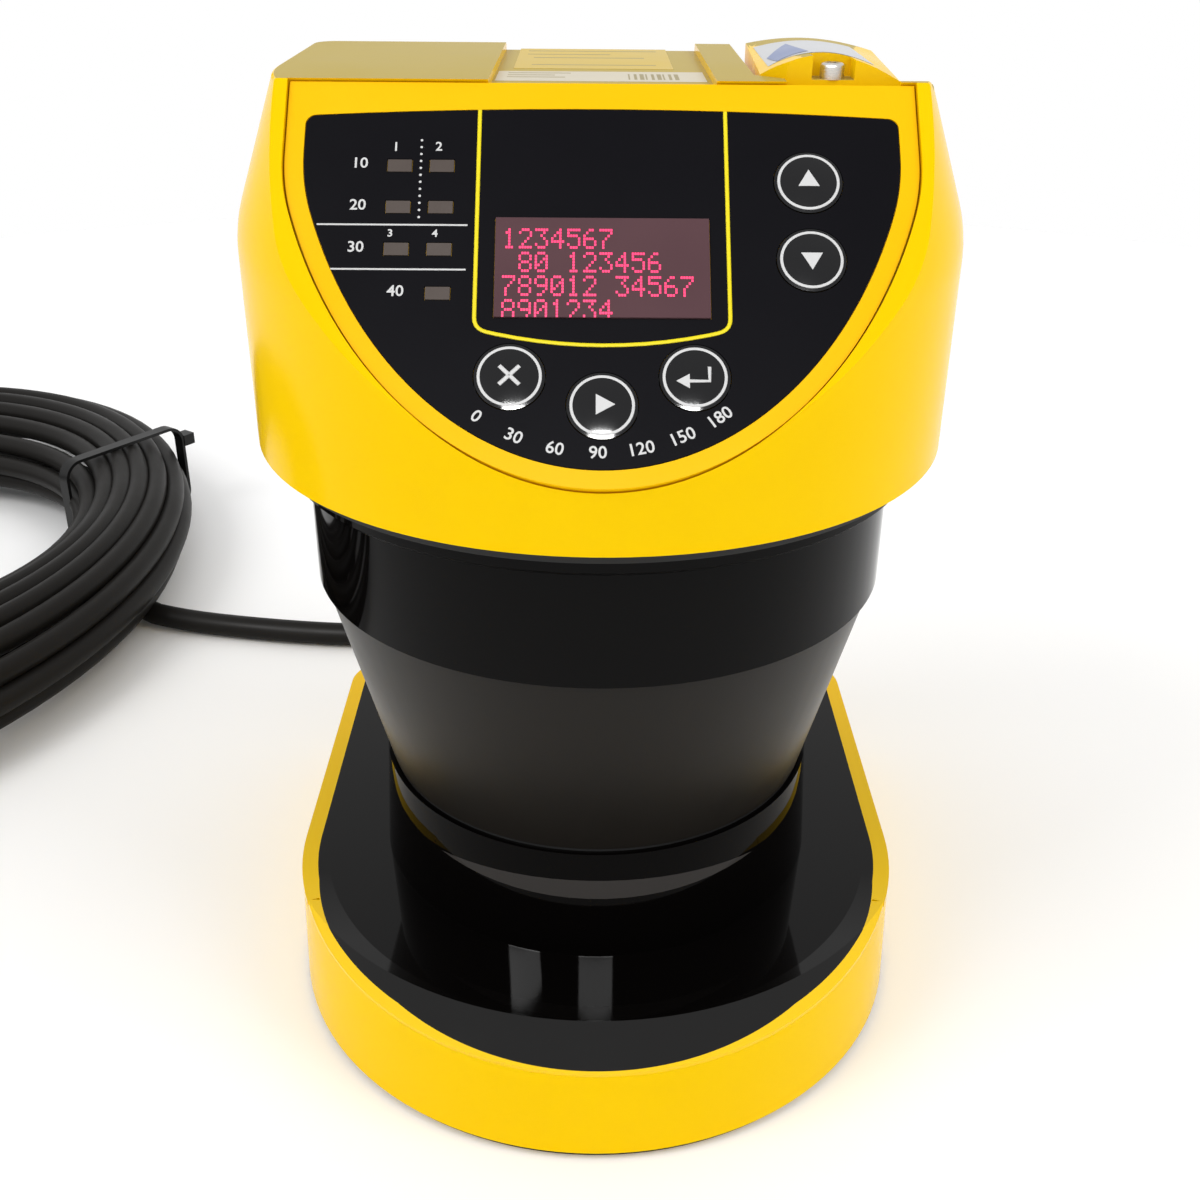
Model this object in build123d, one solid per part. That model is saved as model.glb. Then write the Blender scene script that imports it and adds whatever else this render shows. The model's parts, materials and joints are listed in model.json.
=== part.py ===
from build123d import *
import os
from math import atan, atan2, cos, degrees, pi, radians, sin, tan

# Safety laser scanner. Millimetres, +Z up, the front faces -Y.
# The origin is on the base plane, on the axis that the scanning mirror turns about.

# Overall
WIDTH = 142.0
DEPTH = 158.0
HEIGHT = 205.0
HALF_W = WIDTH / 2
FIT = 0.15
SEAT = 0.05

# Scan window's carrier ring; the rear column stands behind it
CARRIER_R = HALF_W - 9.5
CARRIER_WALL = 2.4
COLUMN_W = 84.0
COLUMN_GAP = 0.5
COLUMN_WALL = 4.0
COLUMN_BAY_DEEP = 13.0
REAR_Y = CARRIER_R + COLUMN_GAP + COLUMN_WALL + COLUMN_BAY_DEEP
NOSE_Y = HALF_W + REAR_Y - DEPTH

# Base: bottom plate, cast tray, black cover with a bevelled front
PLATE_T = 2.0
PLATE_INSET = 1.4
RIM_Z = 28.5
BASE_WALL = 5.0
RIM_T = 2.4
BASE_DRAFT = 2.0
BASE_CORNER = 14.0
COVER_Z = 30.0
COVER_T = 3.4
COVER_LAP = 1.0
BEVEL_Y = NOSE_Y + 14.0
BEVEL_R = HALF_W + 5.0
BEVEL_SLOPE = 0.75
LIP_T = 0.8
BASE_SCREW_R = 2.0
BASE_SCREW_LEN = 12.0
BASE_SCREW_HEAD = (3.8, 1.1)
BASE_BOSS_R = 4.5
BASE_BOSS_BITE = 1.0
BASE_BOSS_TURN = 40.0
BASE_WEB_T = 3.0

# Head casting: the lower stack is measured down from it
HEAD_H = 69.5
HEAD_Z = HEIGHT - HEAD_H
HEAD_REAR_Y = 52.0
HEAD_CORNER = 14.0
HEAD_WALL = 3.0
HEAD_FLOOR = 3.5
TAPER_H = 27.0
TAPER_Z = HEIGHT - TAPER_H
TAPER_IN = 9.4
TAPER_BLEND = 30.0
TOP_EDGE = 0.8
PANEL_TOP_Y = -19.0
PANEL_LOW_Z = HEIGHT - 55.0
LABEL_W = 41.0
LABEL_DEEP = 1.6

# Neck that carries the scan window
NECK_TOP_Z = 56.2
NECK_R_LOW = HALF_W - 20.2
NECK_R_TOP = NECK_R_LOW - 1.4
NECK_BORE_R = NECK_R_LOW - 6.8
LEDGE_R = NECK_BORE_R + 2.5
LEDGE_Z = 52.0

# Scan window and seals
GASKET_T = 2.5
GASKET_R = HALF_W - 2.7
GASKET_BORE_R = CARRIER_R - 4.9
HEAD_BORE_R = GASKET_BORE_R - 6.6
FLANGE_R = HALF_W - 5.4
FLANGE_TOP_Z = HEAD_Z - GASKET_T
FLANGE_Z = FLANGE_TOP_Z - 4.0
FLANGE_EDGE = 0.8
BAND_H = 25.3
WINDOW_LOW_Z = 57.0
WINDOW_TOP_Z = FLANGE_Z - BAND_H
WINDOW_R_LOW = NECK_R_TOP - 1.0
WINDOW_R_TOP = CARRIER_R - 0.9
WINDOW_WALL = 2.8
WINDOW_GAP = 0.3
SPIGOT_H = 4.5
UPPER_SEAL = (2.2, 1.5)

# Sloping panel: places are (across, down the slope) from the top edge's middle
PANEL_FALL = HEIGHT - PANEL_LOW_Z
PANEL_RUN = PANEL_TOP_Y + HALF_W
PANEL_LEN = (PANEL_FALL**2 + PANEL_RUN**2) ** 0.5
FILM_A = HALF_W - 15.5
FILM_CENTRE = 6.0
FILM_B = PANEL_LEN + FILM_CENTRE - 1.7
FILM_HALF = FILM_A - 3.0
FILM_TOP = 5.5
FILM_ARCH = 830.0
FILM_CORNER = 2.0
FILM_BLEND = 40.0
FILM_T = 0.5
BEZEL_RIM = 3.4
BEZEL_TOP = 0.1
BEZEL_T = 2.0
BEZEL_SUNK = 0.8
BEZEL_GAP = 0.35
SEAT_RIM = 3.0
OPENING_RIM = 3.6
DISPLAY = (37.0, 19.0)
DISPLAY_AT = (0.0, 36.9)
DISPLAY_PANE_T = 0.8
KEY_R = 6.0
KEY_GAP = 0.2
KEY_EDGE = 0.1
KEY_RISE = 0.75
KEY_TRAVEL = 0.4
KEY_STEM_R = 2.0
KEY_FLANGE_R = 6.6
KEY_FLANGE_T = 0.8
KEY_SIDE = FILM_HALF - 16.4
KEY_LOW = PANEL_LEN - 18.3
KEYS = {
    "key_up": (KEY_SIDE, 20.0),
    "key_down": (KEY_SIDE, 35.2),
    "key_enter": (15.6, KEY_LOW),
    "key_right": (0.0, KEY_LOW + 5.2),
    "key_escape": (-15.6, KEY_LOW),
}
LAMP = (4.2, 2.4)
LAMP_COLUMNS = (-35.6, -28.2)
LAMP_ROWS = (17.1, 25.3, 33.5)
LAMP_SINGLE = (-28.2, 41.9)
LAMP_CHIP = (3.0, 1.8, 1.5)
PANEL_BOARD_T = 1.6
PANEL_BOARD_DROP = 9.0
PANEL_BOARD_RIM = 3.5
SWITCH = 6.0
SWITCH_H = 3.2
PLUNGER_R = 1.7
PLUNGER_H = 0.8
POST_R = 2.6
POST_SCREW_R = 1.1
POST_X = FILM_HALF - 8.5
POST_LOW_X = FILM_HALF * 0.54
POSTS = [(x, 13.6) for x in (-POST_X, POST_X)]
POSTS += [(x, PANEL_LEN - 25.2) for x in (-POST_LOW_X, POST_LOW_X)]

# Rear column
COLUMN_TOP_Z = HEIGHT - 19.0
COLUMN_FRONT_Y = 30.0
COLUMN_CORNER = 5.0
COLUMN_BAY_W = 54.0
COLUMN_BAY_TOP = COLUMN_TOP_Z - 8.0
DUCT_W = 32.0
REAR_COVER_T = 2.6
REAR_COVER_RIM = 4.0
REAR_COVER_SUNK = 0.4
REAR_SCREW_HEAD_R = 1.9
MOUNT_X = 70.0
MOUNT_Z = 96.0
MOUNT_MID_Z = 98.0
MOUNT_HOLE_R = 2.1
MOUNT_DEEP = 11.0

# Scanning head inside
SCAN_Z = (WINDOW_LOW_Z + WINDOW_TOP_Z) / 2 - 0.35
DECK_T = 4.0
DECK_HOLE = (38.0, 8.0)
MOTOR_R = 20.0
MOTOR_H = 18.0
MOTOR_LOW_Z = FLANGE_TOP_Z - DECK_T - MOTOR_H
BEARING_R = 5.0
BEARING_T = 3.0
SHAFT_R = 2.0
RUN_FIT = 0.03
HOLDER_R = SCAN_Z - NECK_TOP_Z - 6.8
HOLDER_TOP_Z = MOTOR_LOW_Z - 7.0
HUB_R = 7.0
HUB_H = 4.0
MIRROR_T = 2.0
ENCODER_R = 27.0
ENCODER_T = 0.8
ENCODER_BORE_R = 3.5
ENCODER_SLOTS = 24
ENCODER_SLOT = (4.0, 1.6)
BARREL_R = 21.0
BARREL_WALL = 2.0
BARREL_LOW_Z = 33.0
LENS_T = 5.0
LASER_R = 5.0

# Main board in the head
BOARD_T = 1.6
BOARD_Z = HEAD_Z + HEAD_FLOOR + 8.0
BOARD_X = HALF_W - 21.0
BOARD_Y = (-41.0, 42.0)
BOARD_CORNER = 6.0
STANDOFF_R = 3.0
STANDOFF_PLACES = [(x, y) for x in (6.0 - BOARD_X, BOARD_X - 6.0) for y in (-37.0, 37.0)]

# Connector block: its pocket at the rear right of the top, and the shelf in front
POCKET_X = HALF_W - 43.0
POCKET_Y = -8.0
POCKET_Z = HEIGHT - 8.0
SHELF_Z = HEIGHT - 1.6
SHELF_X = (HALF_W - 38.0, HALF_W - 17.4)
SHELF_Y = -14.8
STRIP_Y = -16.8
HOOD_GAP = 0.3
HOOD_TOP_Z = HEIGHT + 4.1
HOOD_REAR_Y = 41.0
HOOD_FRONT_X = (POCKET_X + 0.9, HALF_W - 16.7)
HOOD_REAR_X = (POCKET_X + 3.4, HALF_W - 12.2)
HOOD_CORNER = 4.6
HOOD_TONGUE_T = 1.4
HOOD_NOTCH = 7.8
HOOD_SCREW = (HALF_W - 29.1, -12.6)
SCREW_HEAD_R = 2.2
SCREW_HEAD_H = 2.8
SCREW_LEN = 7.0
SCREW_R = 1.5

# Cable
CABLE_R = 3.9
GLAND_X = -24.0
GLAND_Z = 16.5
GLAND_R = 9.0
GLAND_HEX_T = 4.0
GLAND_LEN = 15.0
GLAND_NUT_LEN = 5.0
GLAND_THREAD_R = 5.5
GLAND_THREAD_LEN = 7.0
GLAND_Y = REAR_Y - 1.0
COIL_AT = (-290.0, 176.0)
COIL_OUTER = (138.2, 166.2)
COIL_INNER_AT = (-277.0, 178.0)
COIL_INNER = (83.8, 79.8)
COIL_LOW = 1.6
COIL_H = 32.7
COIL_EDGE = 5.0
TIE_AT = (-187.4, 238.5)
TIE_TURN = 54.0
TIE_HALF = 27.0
TIE_W = 4.8
TIE_T = 1.2
TIE_CORNER = 6.0
TIE_HEAD = (5.0, 5.5, 4.5)
PLUG_AT = (-340.2, 13.1)
PLUG_TURN = -23.6
PLUG_R = 7.2
PLUG_LEN = 34.0
PLUG_RELIEF_LEN = 14.0

PANEL = Plane(
    origin=(0, PANEL_TOP_Y, HEIGHT),
    x_dir=(1, 0, 0),
    z_dir=(0, -PANEL_FALL / PANEL_LEN, PANEL_RUN / PANEL_LEN),
)


def save(shape, name):
    export_step(shape, f"parts/{name}.step")


def tube(outer, inner, low, high):
    """Plain ring about the scan axis."""
    height = high - low
    ring = Cylinder(outer, height) - Cylinder(inner, height)
    return Pos(0, 0, (low + high) / 2) * ring


def disc(radius, low, high, x=0.0, y=0.0):
    return Pos(x, y, (low + high) / 2) * Cylinder(radius, high - low)


def block(x, y, z):
    """Box from three (low, high) pairs."""
    size = [pair[1] - pair[0] for pair in (x, y, z)]
    middle = [(pair[0] + pair[1]) / 2 for pair in (x, y, z)]
    return Pos(*middle) * Box(*size)


def tongue(half, nose_y, rear_y, corner):
    """Plan with a round nose, straight flanks and a flat back with round corners."""
    length = rear_y - nose_y
    tail = Pos(0, nose_y + length / 2) * Rectangle(2 * half, length)
    tail = fillet(tail.vertices().group_by(Axis.Y)[-1], corner)
    front = Pos(0, nose_y - half) * Rectangle(2 * half, 2 * half)
    nose = Pos(0, nose_y) * Circle(half) & front
    return nose + tail


def revolved(points):
    """Solid of revolution about the scan axis from (radius, height) points."""
    outline = make_face(Polyline(*points, close=True))
    return revolve(Plane.XZ * outline, Axis.Z, 360)


# Base

def base_plan(inset=0.0):
    half = HALF_W - inset
    return tongue(half, NOSE_Y, REAR_Y - inset, max(BASE_CORNER - inset, 2.0))


def bevel_cone(drop, top):
    """Cone about the bevel's axis that falls outwards, with all that lies under it."""
    reach = 40.0
    inner_z = COVER_Z - drop
    outer_z = inner_z - reach * BEVEL_SLOPE
    rise = (top - inner_z) / BEVEL_SLOPE
    points = [(0, outer_z), (BEVEL_R + reach, outer_z), (BEVEL_R - rise, top), (0, top)]
    return Pos(0, BEVEL_Y, 0) * revolved(points)


def bevel_end():
    """Where the bevel's crease meets the drafted outer wall."""
    wall = HALF_W - (COVER_Z - PLATE_T) * tan(radians(BASE_DRAFT))
    offset_y = BEVEL_Y - NOSE_Y
    sine = (BEVEL_R**2 - wall**2 - offset_y**2) / (2 * offset_y * wall)
    return NOSE_Y - wall * sine


def front_zone(low, high):
    """Everything in front of the line where the bevel runs out."""
    return block((-WIDTH, WIDTH), (-DEPTH, bevel_end()), (low, high))


def tray_outer(top):
    """Drafted outer body of the base up to a height."""
    plan = Pos(0, 0, PLATE_T) * base_plan()
    return extrude(plan, top - PLATE_T, taper=BASE_DRAFT)


def boss_places():
    reach = HALF_W - BASE_WALL - BASE_BOSS_R + BASE_BOSS_BITE
    angle = radians(BASE_BOSS_TURN)
    front = (reach * cos(angle), NOSE_Y - reach * sin(angle))
    rear = (reach, REAR_Y - BASE_WALL - BASE_CORNER)
    return [(side * x, y) for side in (-1, 1) for x, y in (front, rear)]


def body_casting():
    """Base tray and rear column, cast in one piece."""
    body = tray_outer(RIM_Z)
    floor_z = COVER_Z - COVER_T
    inside = extrude(Pos(0, 0, PLATE_T) * base_plan(BASE_WALL), floor_z - PLATE_T)
    seat = extrude(Pos(0, 0, floor_z) * base_plan(RIM_T + COVER_LAP), COVER_Z)
    body -= inside + seat
    zone = front_zone(PLATE_T, COVER_Z + 1)
    body -= zone - bevel_cone(LIP_T, COVER_Z + 5)
    body += base_bosses()
    body += column_body()
    body -= column_cuts()
    return body


def base_bosses():
    floor_z = COVER_Z - COVER_T
    bosses = Part()
    for x, y in boss_places():
        bosses += disc(BASE_BOSS_R, PLATE_T, floor_z, x, y)
        turn = degrees(atan2(min(y - NOSE_Y, 0.0), x))
        half = BASE_WEB_T / 2
        web = block((0, BASE_BOSS_R + 2.0), (-half, half), (PLATE_T, floor_z - 2.0))
        bosses += Pos(x, y, 0) * Rot(0, 0, turn) * web
    for x, y in boss_places():
        bosses -= disc(BASE_SCREW_R, PLATE_T, PLATE_T + BASE_SCREW_LEN, x, y)
    return bosses


def column_body():
    half = COLUMN_W / 2
    low = COVER_Z - COVER_T
    lower = block((-half, half), (COLUMN_FRONT_Y, REAR_Y), (low, HEAD_Z))
    rear = block((-half, half), (HEAD_REAR_Y + COLUMN_GAP, REAR_Y), (HEAD_Z, COLUMN_TOP_Z))
    column = lower + rear
    edges = column.edges().filter_by(Axis.Z).group_by(Axis.Y)[-1]
    column = fillet(edges, COLUMN_CORNER)
    top = column.edges().group_by(Axis.Z)[-1].group_by(Axis.Y)[-1]
    column = chamfer(top, COLUMN_CORNER - 1.0)
    foot = block((-half, half), (REAR_Y - BASE_WALL, GLAND_Y), (PLATE_T, low))
    return column + foot


def column_cuts():
    low = COVER_Z - COVER_T
    hollow = disc(CARRIER_R + COLUMN_GAP, low, FLANGE_Z)
    hollow += disc(FLANGE_R + COLUMN_GAP, FLANGE_Z - 0.5, FLANGE_TOP_Z)
    hollow += disc(GASKET_R + COLUMN_GAP, FLANGE_TOP_Z - 0.5, HEAD_Z)
    gland = across_y(GLAND_THREAD_R, GLAND_Y - 8.0, REAR_Y, GLAND_X, GLAND_Z)
    gland += across_y(GLAND_R + 1.0, GLAND_Y, REAR_Y + 1.0, GLAND_X, GLAND_Z)
    return hollow + column_bay() + mount_holes() + gland


def column_bay():
    """Wiring bay, open at the back, and the seat of its cover."""
    half = COLUMN_BAY_W / 2
    front = REAR_Y - COLUMN_BAY_DEEP
    low = rear_cover_low() + REAR_COVER_RIM
    bay = block((-half, half), (front, REAR_Y), (low, COLUMN_BAY_TOP))
    seat = rear_cover_plate(FIT, REAR_Y + 1)
    half = DUCT_W / 2
    duct = block((-half, half), (front + 2, REAR_Y - COLUMN_WALL), (PLATE_T + 10.0, low + 4.0))
    return bay + seat + duct


def rear_cover_low():
    return COVER_Z + 6.0


def rear_cover_plate(grow, back):
    half = COLUMN_BAY_W / 2 + REAR_COVER_RIM + grow
    low = rear_cover_low() - grow
    high = COLUMN_BAY_TOP + REAR_COVER_RIM + grow
    front = REAR_Y - REAR_COVER_T - REAR_COVER_SUNK
    plate = block((-half, half), (front, back), (low, high))
    return fillet(plate.edges().filter_by(Axis.Y), 3.0)


def rear_cover_screw_places():
    half = COLUMN_BAY_W / 2 + REAR_COVER_RIM / 2 - 0.2
    low = rear_cover_low() + 8.0
    high = COLUMN_BAY_TOP - 8.0
    return [(x, z) for x in (-half, half) for z in (low, (low + high) / 2, high)]


def rear_cover():
    plate = rear_cover_plate(0.0, REAR_Y - REAR_COVER_SUNK)
    for x, z in rear_cover_screw_places():
        plate -= across_y(SCREW_R + 0.2, REAR_Y - 5, REAR_Y, x, z)
    return plate


def across_y(radius, low, high, x, z):
    """Cylinder along Y."""
    return Pos(x, (low + high) / 2, z) * Rot(90, 0, 0) * Cylinder(radius, high - low)


def rear_cover_screws():
    screws = []
    for x, z in rear_cover_screw_places():
        back = REAR_Y - REAR_COVER_SUNK
        head = across_y(REAR_SCREW_HEAD_R, back, REAR_Y, x, z)
        screws.append(head + across_y(SCREW_R, back - REAR_COVER_T, back, x, z))
    return Compound(screws)


def mount_places():
    half_x = MOUNT_X / 2
    half_z = MOUNT_Z / 2
    return [(x, MOUNT_MID_Z + z) for x in (-half_x, half_x) for z in (-half_z, half_z)]


def mount_holes():
    holes = Part()
    for x, z in mount_places():
        holes += across_y(MOUNT_HOLE_R, REAR_Y - MOUNT_DEEP, REAR_Y, x, z)
    return holes


def base_cover():
    """Black top of the base: flat deck, front bevel with its lip, and the window's neck."""
    floor_z = COVER_Z - COVER_T
    deck = extrude(Pos(0, 0, floor_z) * base_plan(RIM_T + COVER_LAP + FIT), COVER_T)
    zone = front_zone(PLATE_T, COVER_Z + 5)
    shoulder = tray_outer(COVER_Z) & zone
    shoulder -= bevel_cone(LIP_T - SEAT, RIM_Z + SEAT)
    shoulder -= extrude(Pos(0, 0, PLATE_T) * base_plan(BASE_WALL + 2.0), COVER_Z)
    cover = deck + shoulder
    cover -= zone - bevel_cone(0.0, COVER_Z + 5)
    neck = [
        (NECK_BORE_R, floor_z),
        (NECK_R_LOW, floor_z),
        (NECK_R_LOW, COVER_Z),
        (NECK_R_TOP, NECK_TOP_Z),
        (LEDGE_R, NECK_TOP_Z),
        (LEDGE_R, LEDGE_Z),
        (NECK_BORE_R, LEDGE_Z),
    ]
    cover += revolved(neck)
    cover -= disc(NECK_BORE_R, floor_z - 1, COVER_Z + 1)
    half = COLUMN_W / 2 + FIT
    slot = block((-half, half), (COLUMN_FRONT_Y, DEPTH), (PLATE_T, COVER_Z + 1))
    return cover - (slot - disc(CARRIER_R + COLUMN_GAP - FIT, PLATE_T, COVER_Z + 1))


def bottom_plate():
    plate = extrude(base_plan(PLATE_INSET), PLATE_T)
    for x, y in boss_places():
        plate -= disc(BASE_SCREW_R + 0.2, 0, PLATE_T, x, y)
        plate -= disc(BASE_SCREW_HEAD[0] + 0.2, 0, BASE_SCREW_HEAD[1] + 0.1, x, y)
    return plate


def bottom_screws():
    screws = []
    for x, y in boss_places():
        seat = BASE_SCREW_HEAD[1] + 0.1
        head = disc(BASE_SCREW_HEAD[0], 0.1, seat, x, y)
        screws.append(head + disc(BASE_SCREW_R - 0.1, seat, BASE_SCREW_LEN, x, y))
    return Compound(screws)


# Window and carrier

def scan_window():
    slope = (WINDOW_R_TOP - WINDOW_R_LOW) / (WINDOW_TOP_Z - WINDOW_LOW_Z)
    spigot_r = CARRIER_R - CARRIER_WALL - FIT
    wall = WINDOW_WALL / cos(atan(slope))
    points = [
        (WINDOW_R_LOW - wall, WINDOW_LOW_Z),
        (WINDOW_R_LOW, WINDOW_LOW_Z),
        (WINDOW_R_TOP, WINDOW_TOP_Z),
        (spigot_r, WINDOW_TOP_Z),
        (spigot_r, WINDOW_TOP_Z + SPIGOT_H),
        (WINDOW_R_TOP - wall, WINDOW_TOP_Z + SPIGOT_H),
        (WINDOW_R_TOP - wall, WINDOW_TOP_Z),
    ]
    return revolved(points)


def window_carrier():
    inner = CARRIER_R - CARRIER_WALL
    points = [
        (inner, WINDOW_TOP_Z + WINDOW_GAP),
        (CARRIER_R, WINDOW_TOP_Z + WINDOW_GAP),
        (CARRIER_R, FLANGE_Z),
        (FLANGE_R - FLANGE_EDGE, FLANGE_Z),
        (FLANGE_R, FLANGE_Z + FLANGE_EDGE),
        (FLANGE_R, FLANGE_TOP_Z),
        (inner, FLANGE_TOP_Z),
    ]
    return revolved(points)


def lower_seal():
    return tube(WINDOW_R_LOW - WINDOW_GAP, LEDGE_R + 0.1, NECK_TOP_Z, WINDOW_LOW_Z)


def upper_seal():
    inner = CARRIER_R - CARRIER_WALL
    low = WINDOW_TOP_Z + SPIGOT_H
    return tube(inner - FIT, inner - UPPER_SEAL[0], low, low + UPPER_SEAL[1])


def head_gasket():
    return tube(GASKET_R, GASKET_BORE_R, FLANGE_TOP_Z, HEAD_Z)


# Head

def head_solid(inset, low, high):
    """Head body, straight below and tapered above, reduced all round by an inset."""
    taper = degrees(atan(TAPER_IN / TAPER_H))
    plan = tongue(HALF_W - inset, 0.0, HEAD_REAR_Y - inset, HEAD_CORNER - inset)
    lower = extrude(Pos(0, 0, low) * plan, TAPER_Z - low)
    upper = extrude(Pos(0, 0, TAPER_Z) * plan, high - TAPER_Z, taper=taper)
    return lower + upper


def head_outside():
    """Outer form with its crease blended and its top edge rounded."""
    head = head_solid(0.0, HEAD_Z, HEIGHT)
    crease = head.edges().filter_by_position(Axis.Z, TAPER_Z - 0.01, TAPER_Z + 0.01)
    head = fillet(crease, TAPER_BLEND)
    return fillet(head.edges().group_by(Axis.Z)[-1], TOP_EDGE)


def panel_side(solid, depth):
    """What lies under the panel's plane, moved inwards by a depth."""
    return split(solid, bisect_by=PANEL.offset(-depth), keep=Keep.BOTTOM)


def panel_plan(grow, top):
    """Ellipse between straight flanks, with the kinks blended, below a top line or arch."""
    body = Pos(0, FILM_CENTRE) * Ellipse(FILM_A + grow, FILM_B + grow)
    flanks = Pos(0, -PANEL_LEN / 2) * Rectangle(2 * (FILM_HALF + grow), 2 * PANEL_LEN)
    plan = body & flanks & top
    return fillet(plan.vertices().group_by(Axis.Y)[0], FILM_BLEND)


def film_plan(grow=0.0):
    arch = Pos(0, grow - FILM_TOP - FILM_ARCH) * Circle(FILM_ARCH)
    plan = panel_plan(grow, arch)
    return fillet(plan.vertices().group_by(Axis.Y)[-1], FILM_CORNER)


def bezel_plan(grow=0.0):
    top = grow - BEZEL_TOP
    below = Pos(0, top - PANEL_LEN) * Rectangle(WIDTH, 2 * PANEL_LEN)
    return panel_plan(BEZEL_RIM + grow, below)


def on_panel(plan, low, high):
    """Plan drawn on the panel's plane, between two heights over it."""
    return extrude(PANEL.offset(low) * plan, high - low)


def place(spot):
    """Panel place from (across, down the slope)."""
    return Pos(spot[0], -spot[1])


def head_shell():
    head = panel_side(head_outside(), 0.0)
    cavity = head_solid(HEAD_WALL, HEAD_Z + HEAD_FLOOR, HEIGHT - HEAD_WALL)
    cavity -= pocket_floor()
    head -= panel_side(cavity, BEZEL_SUNK + BEZEL_T + SEAT_RIM)
    head -= disc(HEAD_BORE_R, HEAD_Z, HEAD_Z + HEAD_FLOOR)
    head -= on_panel(bezel_plan(BEZEL_GAP), -BEZEL_SUNK - BEZEL_T, 5.0)
    head -= on_panel(film_plan(-OPENING_RIM), -20.0, 0.0)
    half = LABEL_W / 2
    head -= block((-half, half), (-DEPTH, DEPTH), (HEIGHT - LABEL_DEEP, HEIGHT + 1))
    head -= pocket()
    return head - disc(SCREW_R, SHELF_Z - SCREW_LEN, HEIGHT, *HOOD_SCREW)


def pocket():
    """Deep pocket of the connector block and the shallow shelf that its tongue lies on."""
    deep = block((POCKET_X, WIDTH), (POCKET_Y, DEPTH), (POCKET_Z, HEIGHT + 1))
    left, right = SHELF_X
    corner = SHELF_Y + left - POCKET_X
    outline = Polyline(
        (POCKET_X, DEPTH),
        (POCKET_X, corner),
        (left, SHELF_Y),
        (left, -DEPTH),
        (right, -DEPTH),
        (right, STRIP_Y),
        (WIDTH, STRIP_Y),
        (WIDTH, DEPTH),
        close=True,
    )
    shelf = extrude(Pos(0, 0, SHELF_Z) * make_face(outline), HEIGHT + 1 - SHELF_Z)
    return deep + shelf


def pocket_floor():
    """Solid left under the connector block's pocket and shelf."""
    low = POCKET_Z - HEAD_WALL
    return block((POCKET_X - HEAD_WALL, WIDTH), (STRIP_Y - HEAD_WALL, DEPTH), (low, HEIGHT))


def panel_bezel():
    """Yellow inset plate with the film's recess, openings and board posts."""
    face = -BEZEL_SUNK
    back = face - BEZEL_T
    plate = on_panel(bezel_plan(), back, face)
    plate -= on_panel(film_plan(FIT), face - FILM_T, face)
    window = place(DISPLAY_AT) * Rectangle(DISPLAY[0] - 1.5, DISPLAY[1] - 1.5)
    plate -= on_panel(window, back, face)
    for spot in KEYS.values():
        plate -= on_panel(place(spot) * Circle(KEY_R + KEY_GAP), back, face)
    for spot in lamp_places():
        plate -= on_panel(place(spot) * Rectangle(LAMP[0] - 0.6, LAMP[1] - 0.6), back, face)
    for spot in POSTS:
        post = on_panel(place(spot) * Circle(POST_R), -PANEL_BOARD_DROP, back)
        bore = on_panel(place(spot) * Circle(POST_SCREW_R), -PANEL_BOARD_DROP, back - 1.0)
        plate += post - bore
    return plate


def panel_film():
    film = on_panel(film_plan(), -BEZEL_SUNK - FILM_T, -BEZEL_SUNK)
    window = place(DISPLAY_AT) * Rectangle(DISPLAY[0] + 2 * FIT, DISPLAY[1] + 2 * FIT)
    film -= on_panel(window, -2.0, 1.0)
    for spot in KEYS.values():
        film -= on_panel(place(spot) * Circle(KEY_R + KEY_GAP), -2.0, 1.0)
    for spot in lamp_places():
        hole = Rectangle(LAMP[0] + 2 * FIT, LAMP[1] + 2 * FIT)
        film -= on_panel(place(spot) * hole, -2.0, 1.0)
    return film


def lamp_places():
    pairs = [(x, y) for y in LAMP_ROWS for x in LAMP_COLUMNS]
    return pairs + [LAMP_SINGLE]


def display_window():
    face = -BEZEL_SUNK
    pane = place(DISPLAY_AT) * Rectangle(*DISPLAY)
    return on_panel(pane, face - FILM_T, face - FILM_T + DISPLAY_PANE_T)


def display_module():
    back = -BEZEL_SUNK - BEZEL_T
    body = place(DISPLAY_AT) * Rectangle(DISPLAY[0] + 6, DISPLAY[1] + 2)
    glass = place(DISPLAY_AT) * Rectangle(DISPLAY[0] - 2.2, DISPLAY[1] - 2.2)
    module = on_panel(body, -PANEL_BOARD_DROP, back - 0.1)
    return module + on_panel(glass, back - 0.2, -BEZEL_SUNK - FILM_T - 0.1)


def indicator_lenses():
    face = -BEZEL_SUNK
    lenses = []
    for spot in lamp_places():
        lens = on_panel(place(spot) * Rectangle(*LAMP), face - FILM_T, face)
        pipe = Rectangle(LAMP[0] - 0.9, LAMP[1] - 0.9)
        low = LAMP_CHIP[2] + 0.2 - PANEL_BOARD_DROP
        lens += on_panel(place(spot) * pipe, low, face - FILM_T)
        lenses.append(lens)
    return Compound(lenses)


def indicator_leds():
    chips = []
    for spot in lamp_places():
        chip = place(spot) * Rectangle(*LAMP_CHIP[:2])
        chips.append(on_panel(chip, -PANEL_BOARD_DROP, -PANEL_BOARD_DROP + LAMP_CHIP[2]))
    return Compound(chips)


def key(spot):
    """Round domed key cap with its flange behind the bezel and the stem to its switch."""
    flange_top = -BEZEL_SUNK - BEZEL_T - SEAT
    flange_low = flange_top - KEY_FLANGE_T
    stem_low = -PANEL_BOARD_DROP + SWITCH_H + KEY_TRAVEL + SEAT
    crown = KEY_RISE - BEZEL_SUNK
    side = [
        (0, crown),
        (0, stem_low),
        (KEY_STEM_R, stem_low),
        (KEY_STEM_R, flange_low),
        (KEY_FLANGE_R, flange_low),
        (KEY_FLANGE_R, flange_top),
        (KEY_R, flange_top),
        (KEY_R, crown),
    ]
    rise = KEY_RISE - KEY_EDGE
    dome_r = (KEY_R**2 + rise**2) / (2 * rise)
    cap = revolved(side) & Pos(0, 0, crown - dome_r) * Sphere(dome_r)
    return PANEL.location * place(spot) * cap


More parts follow.
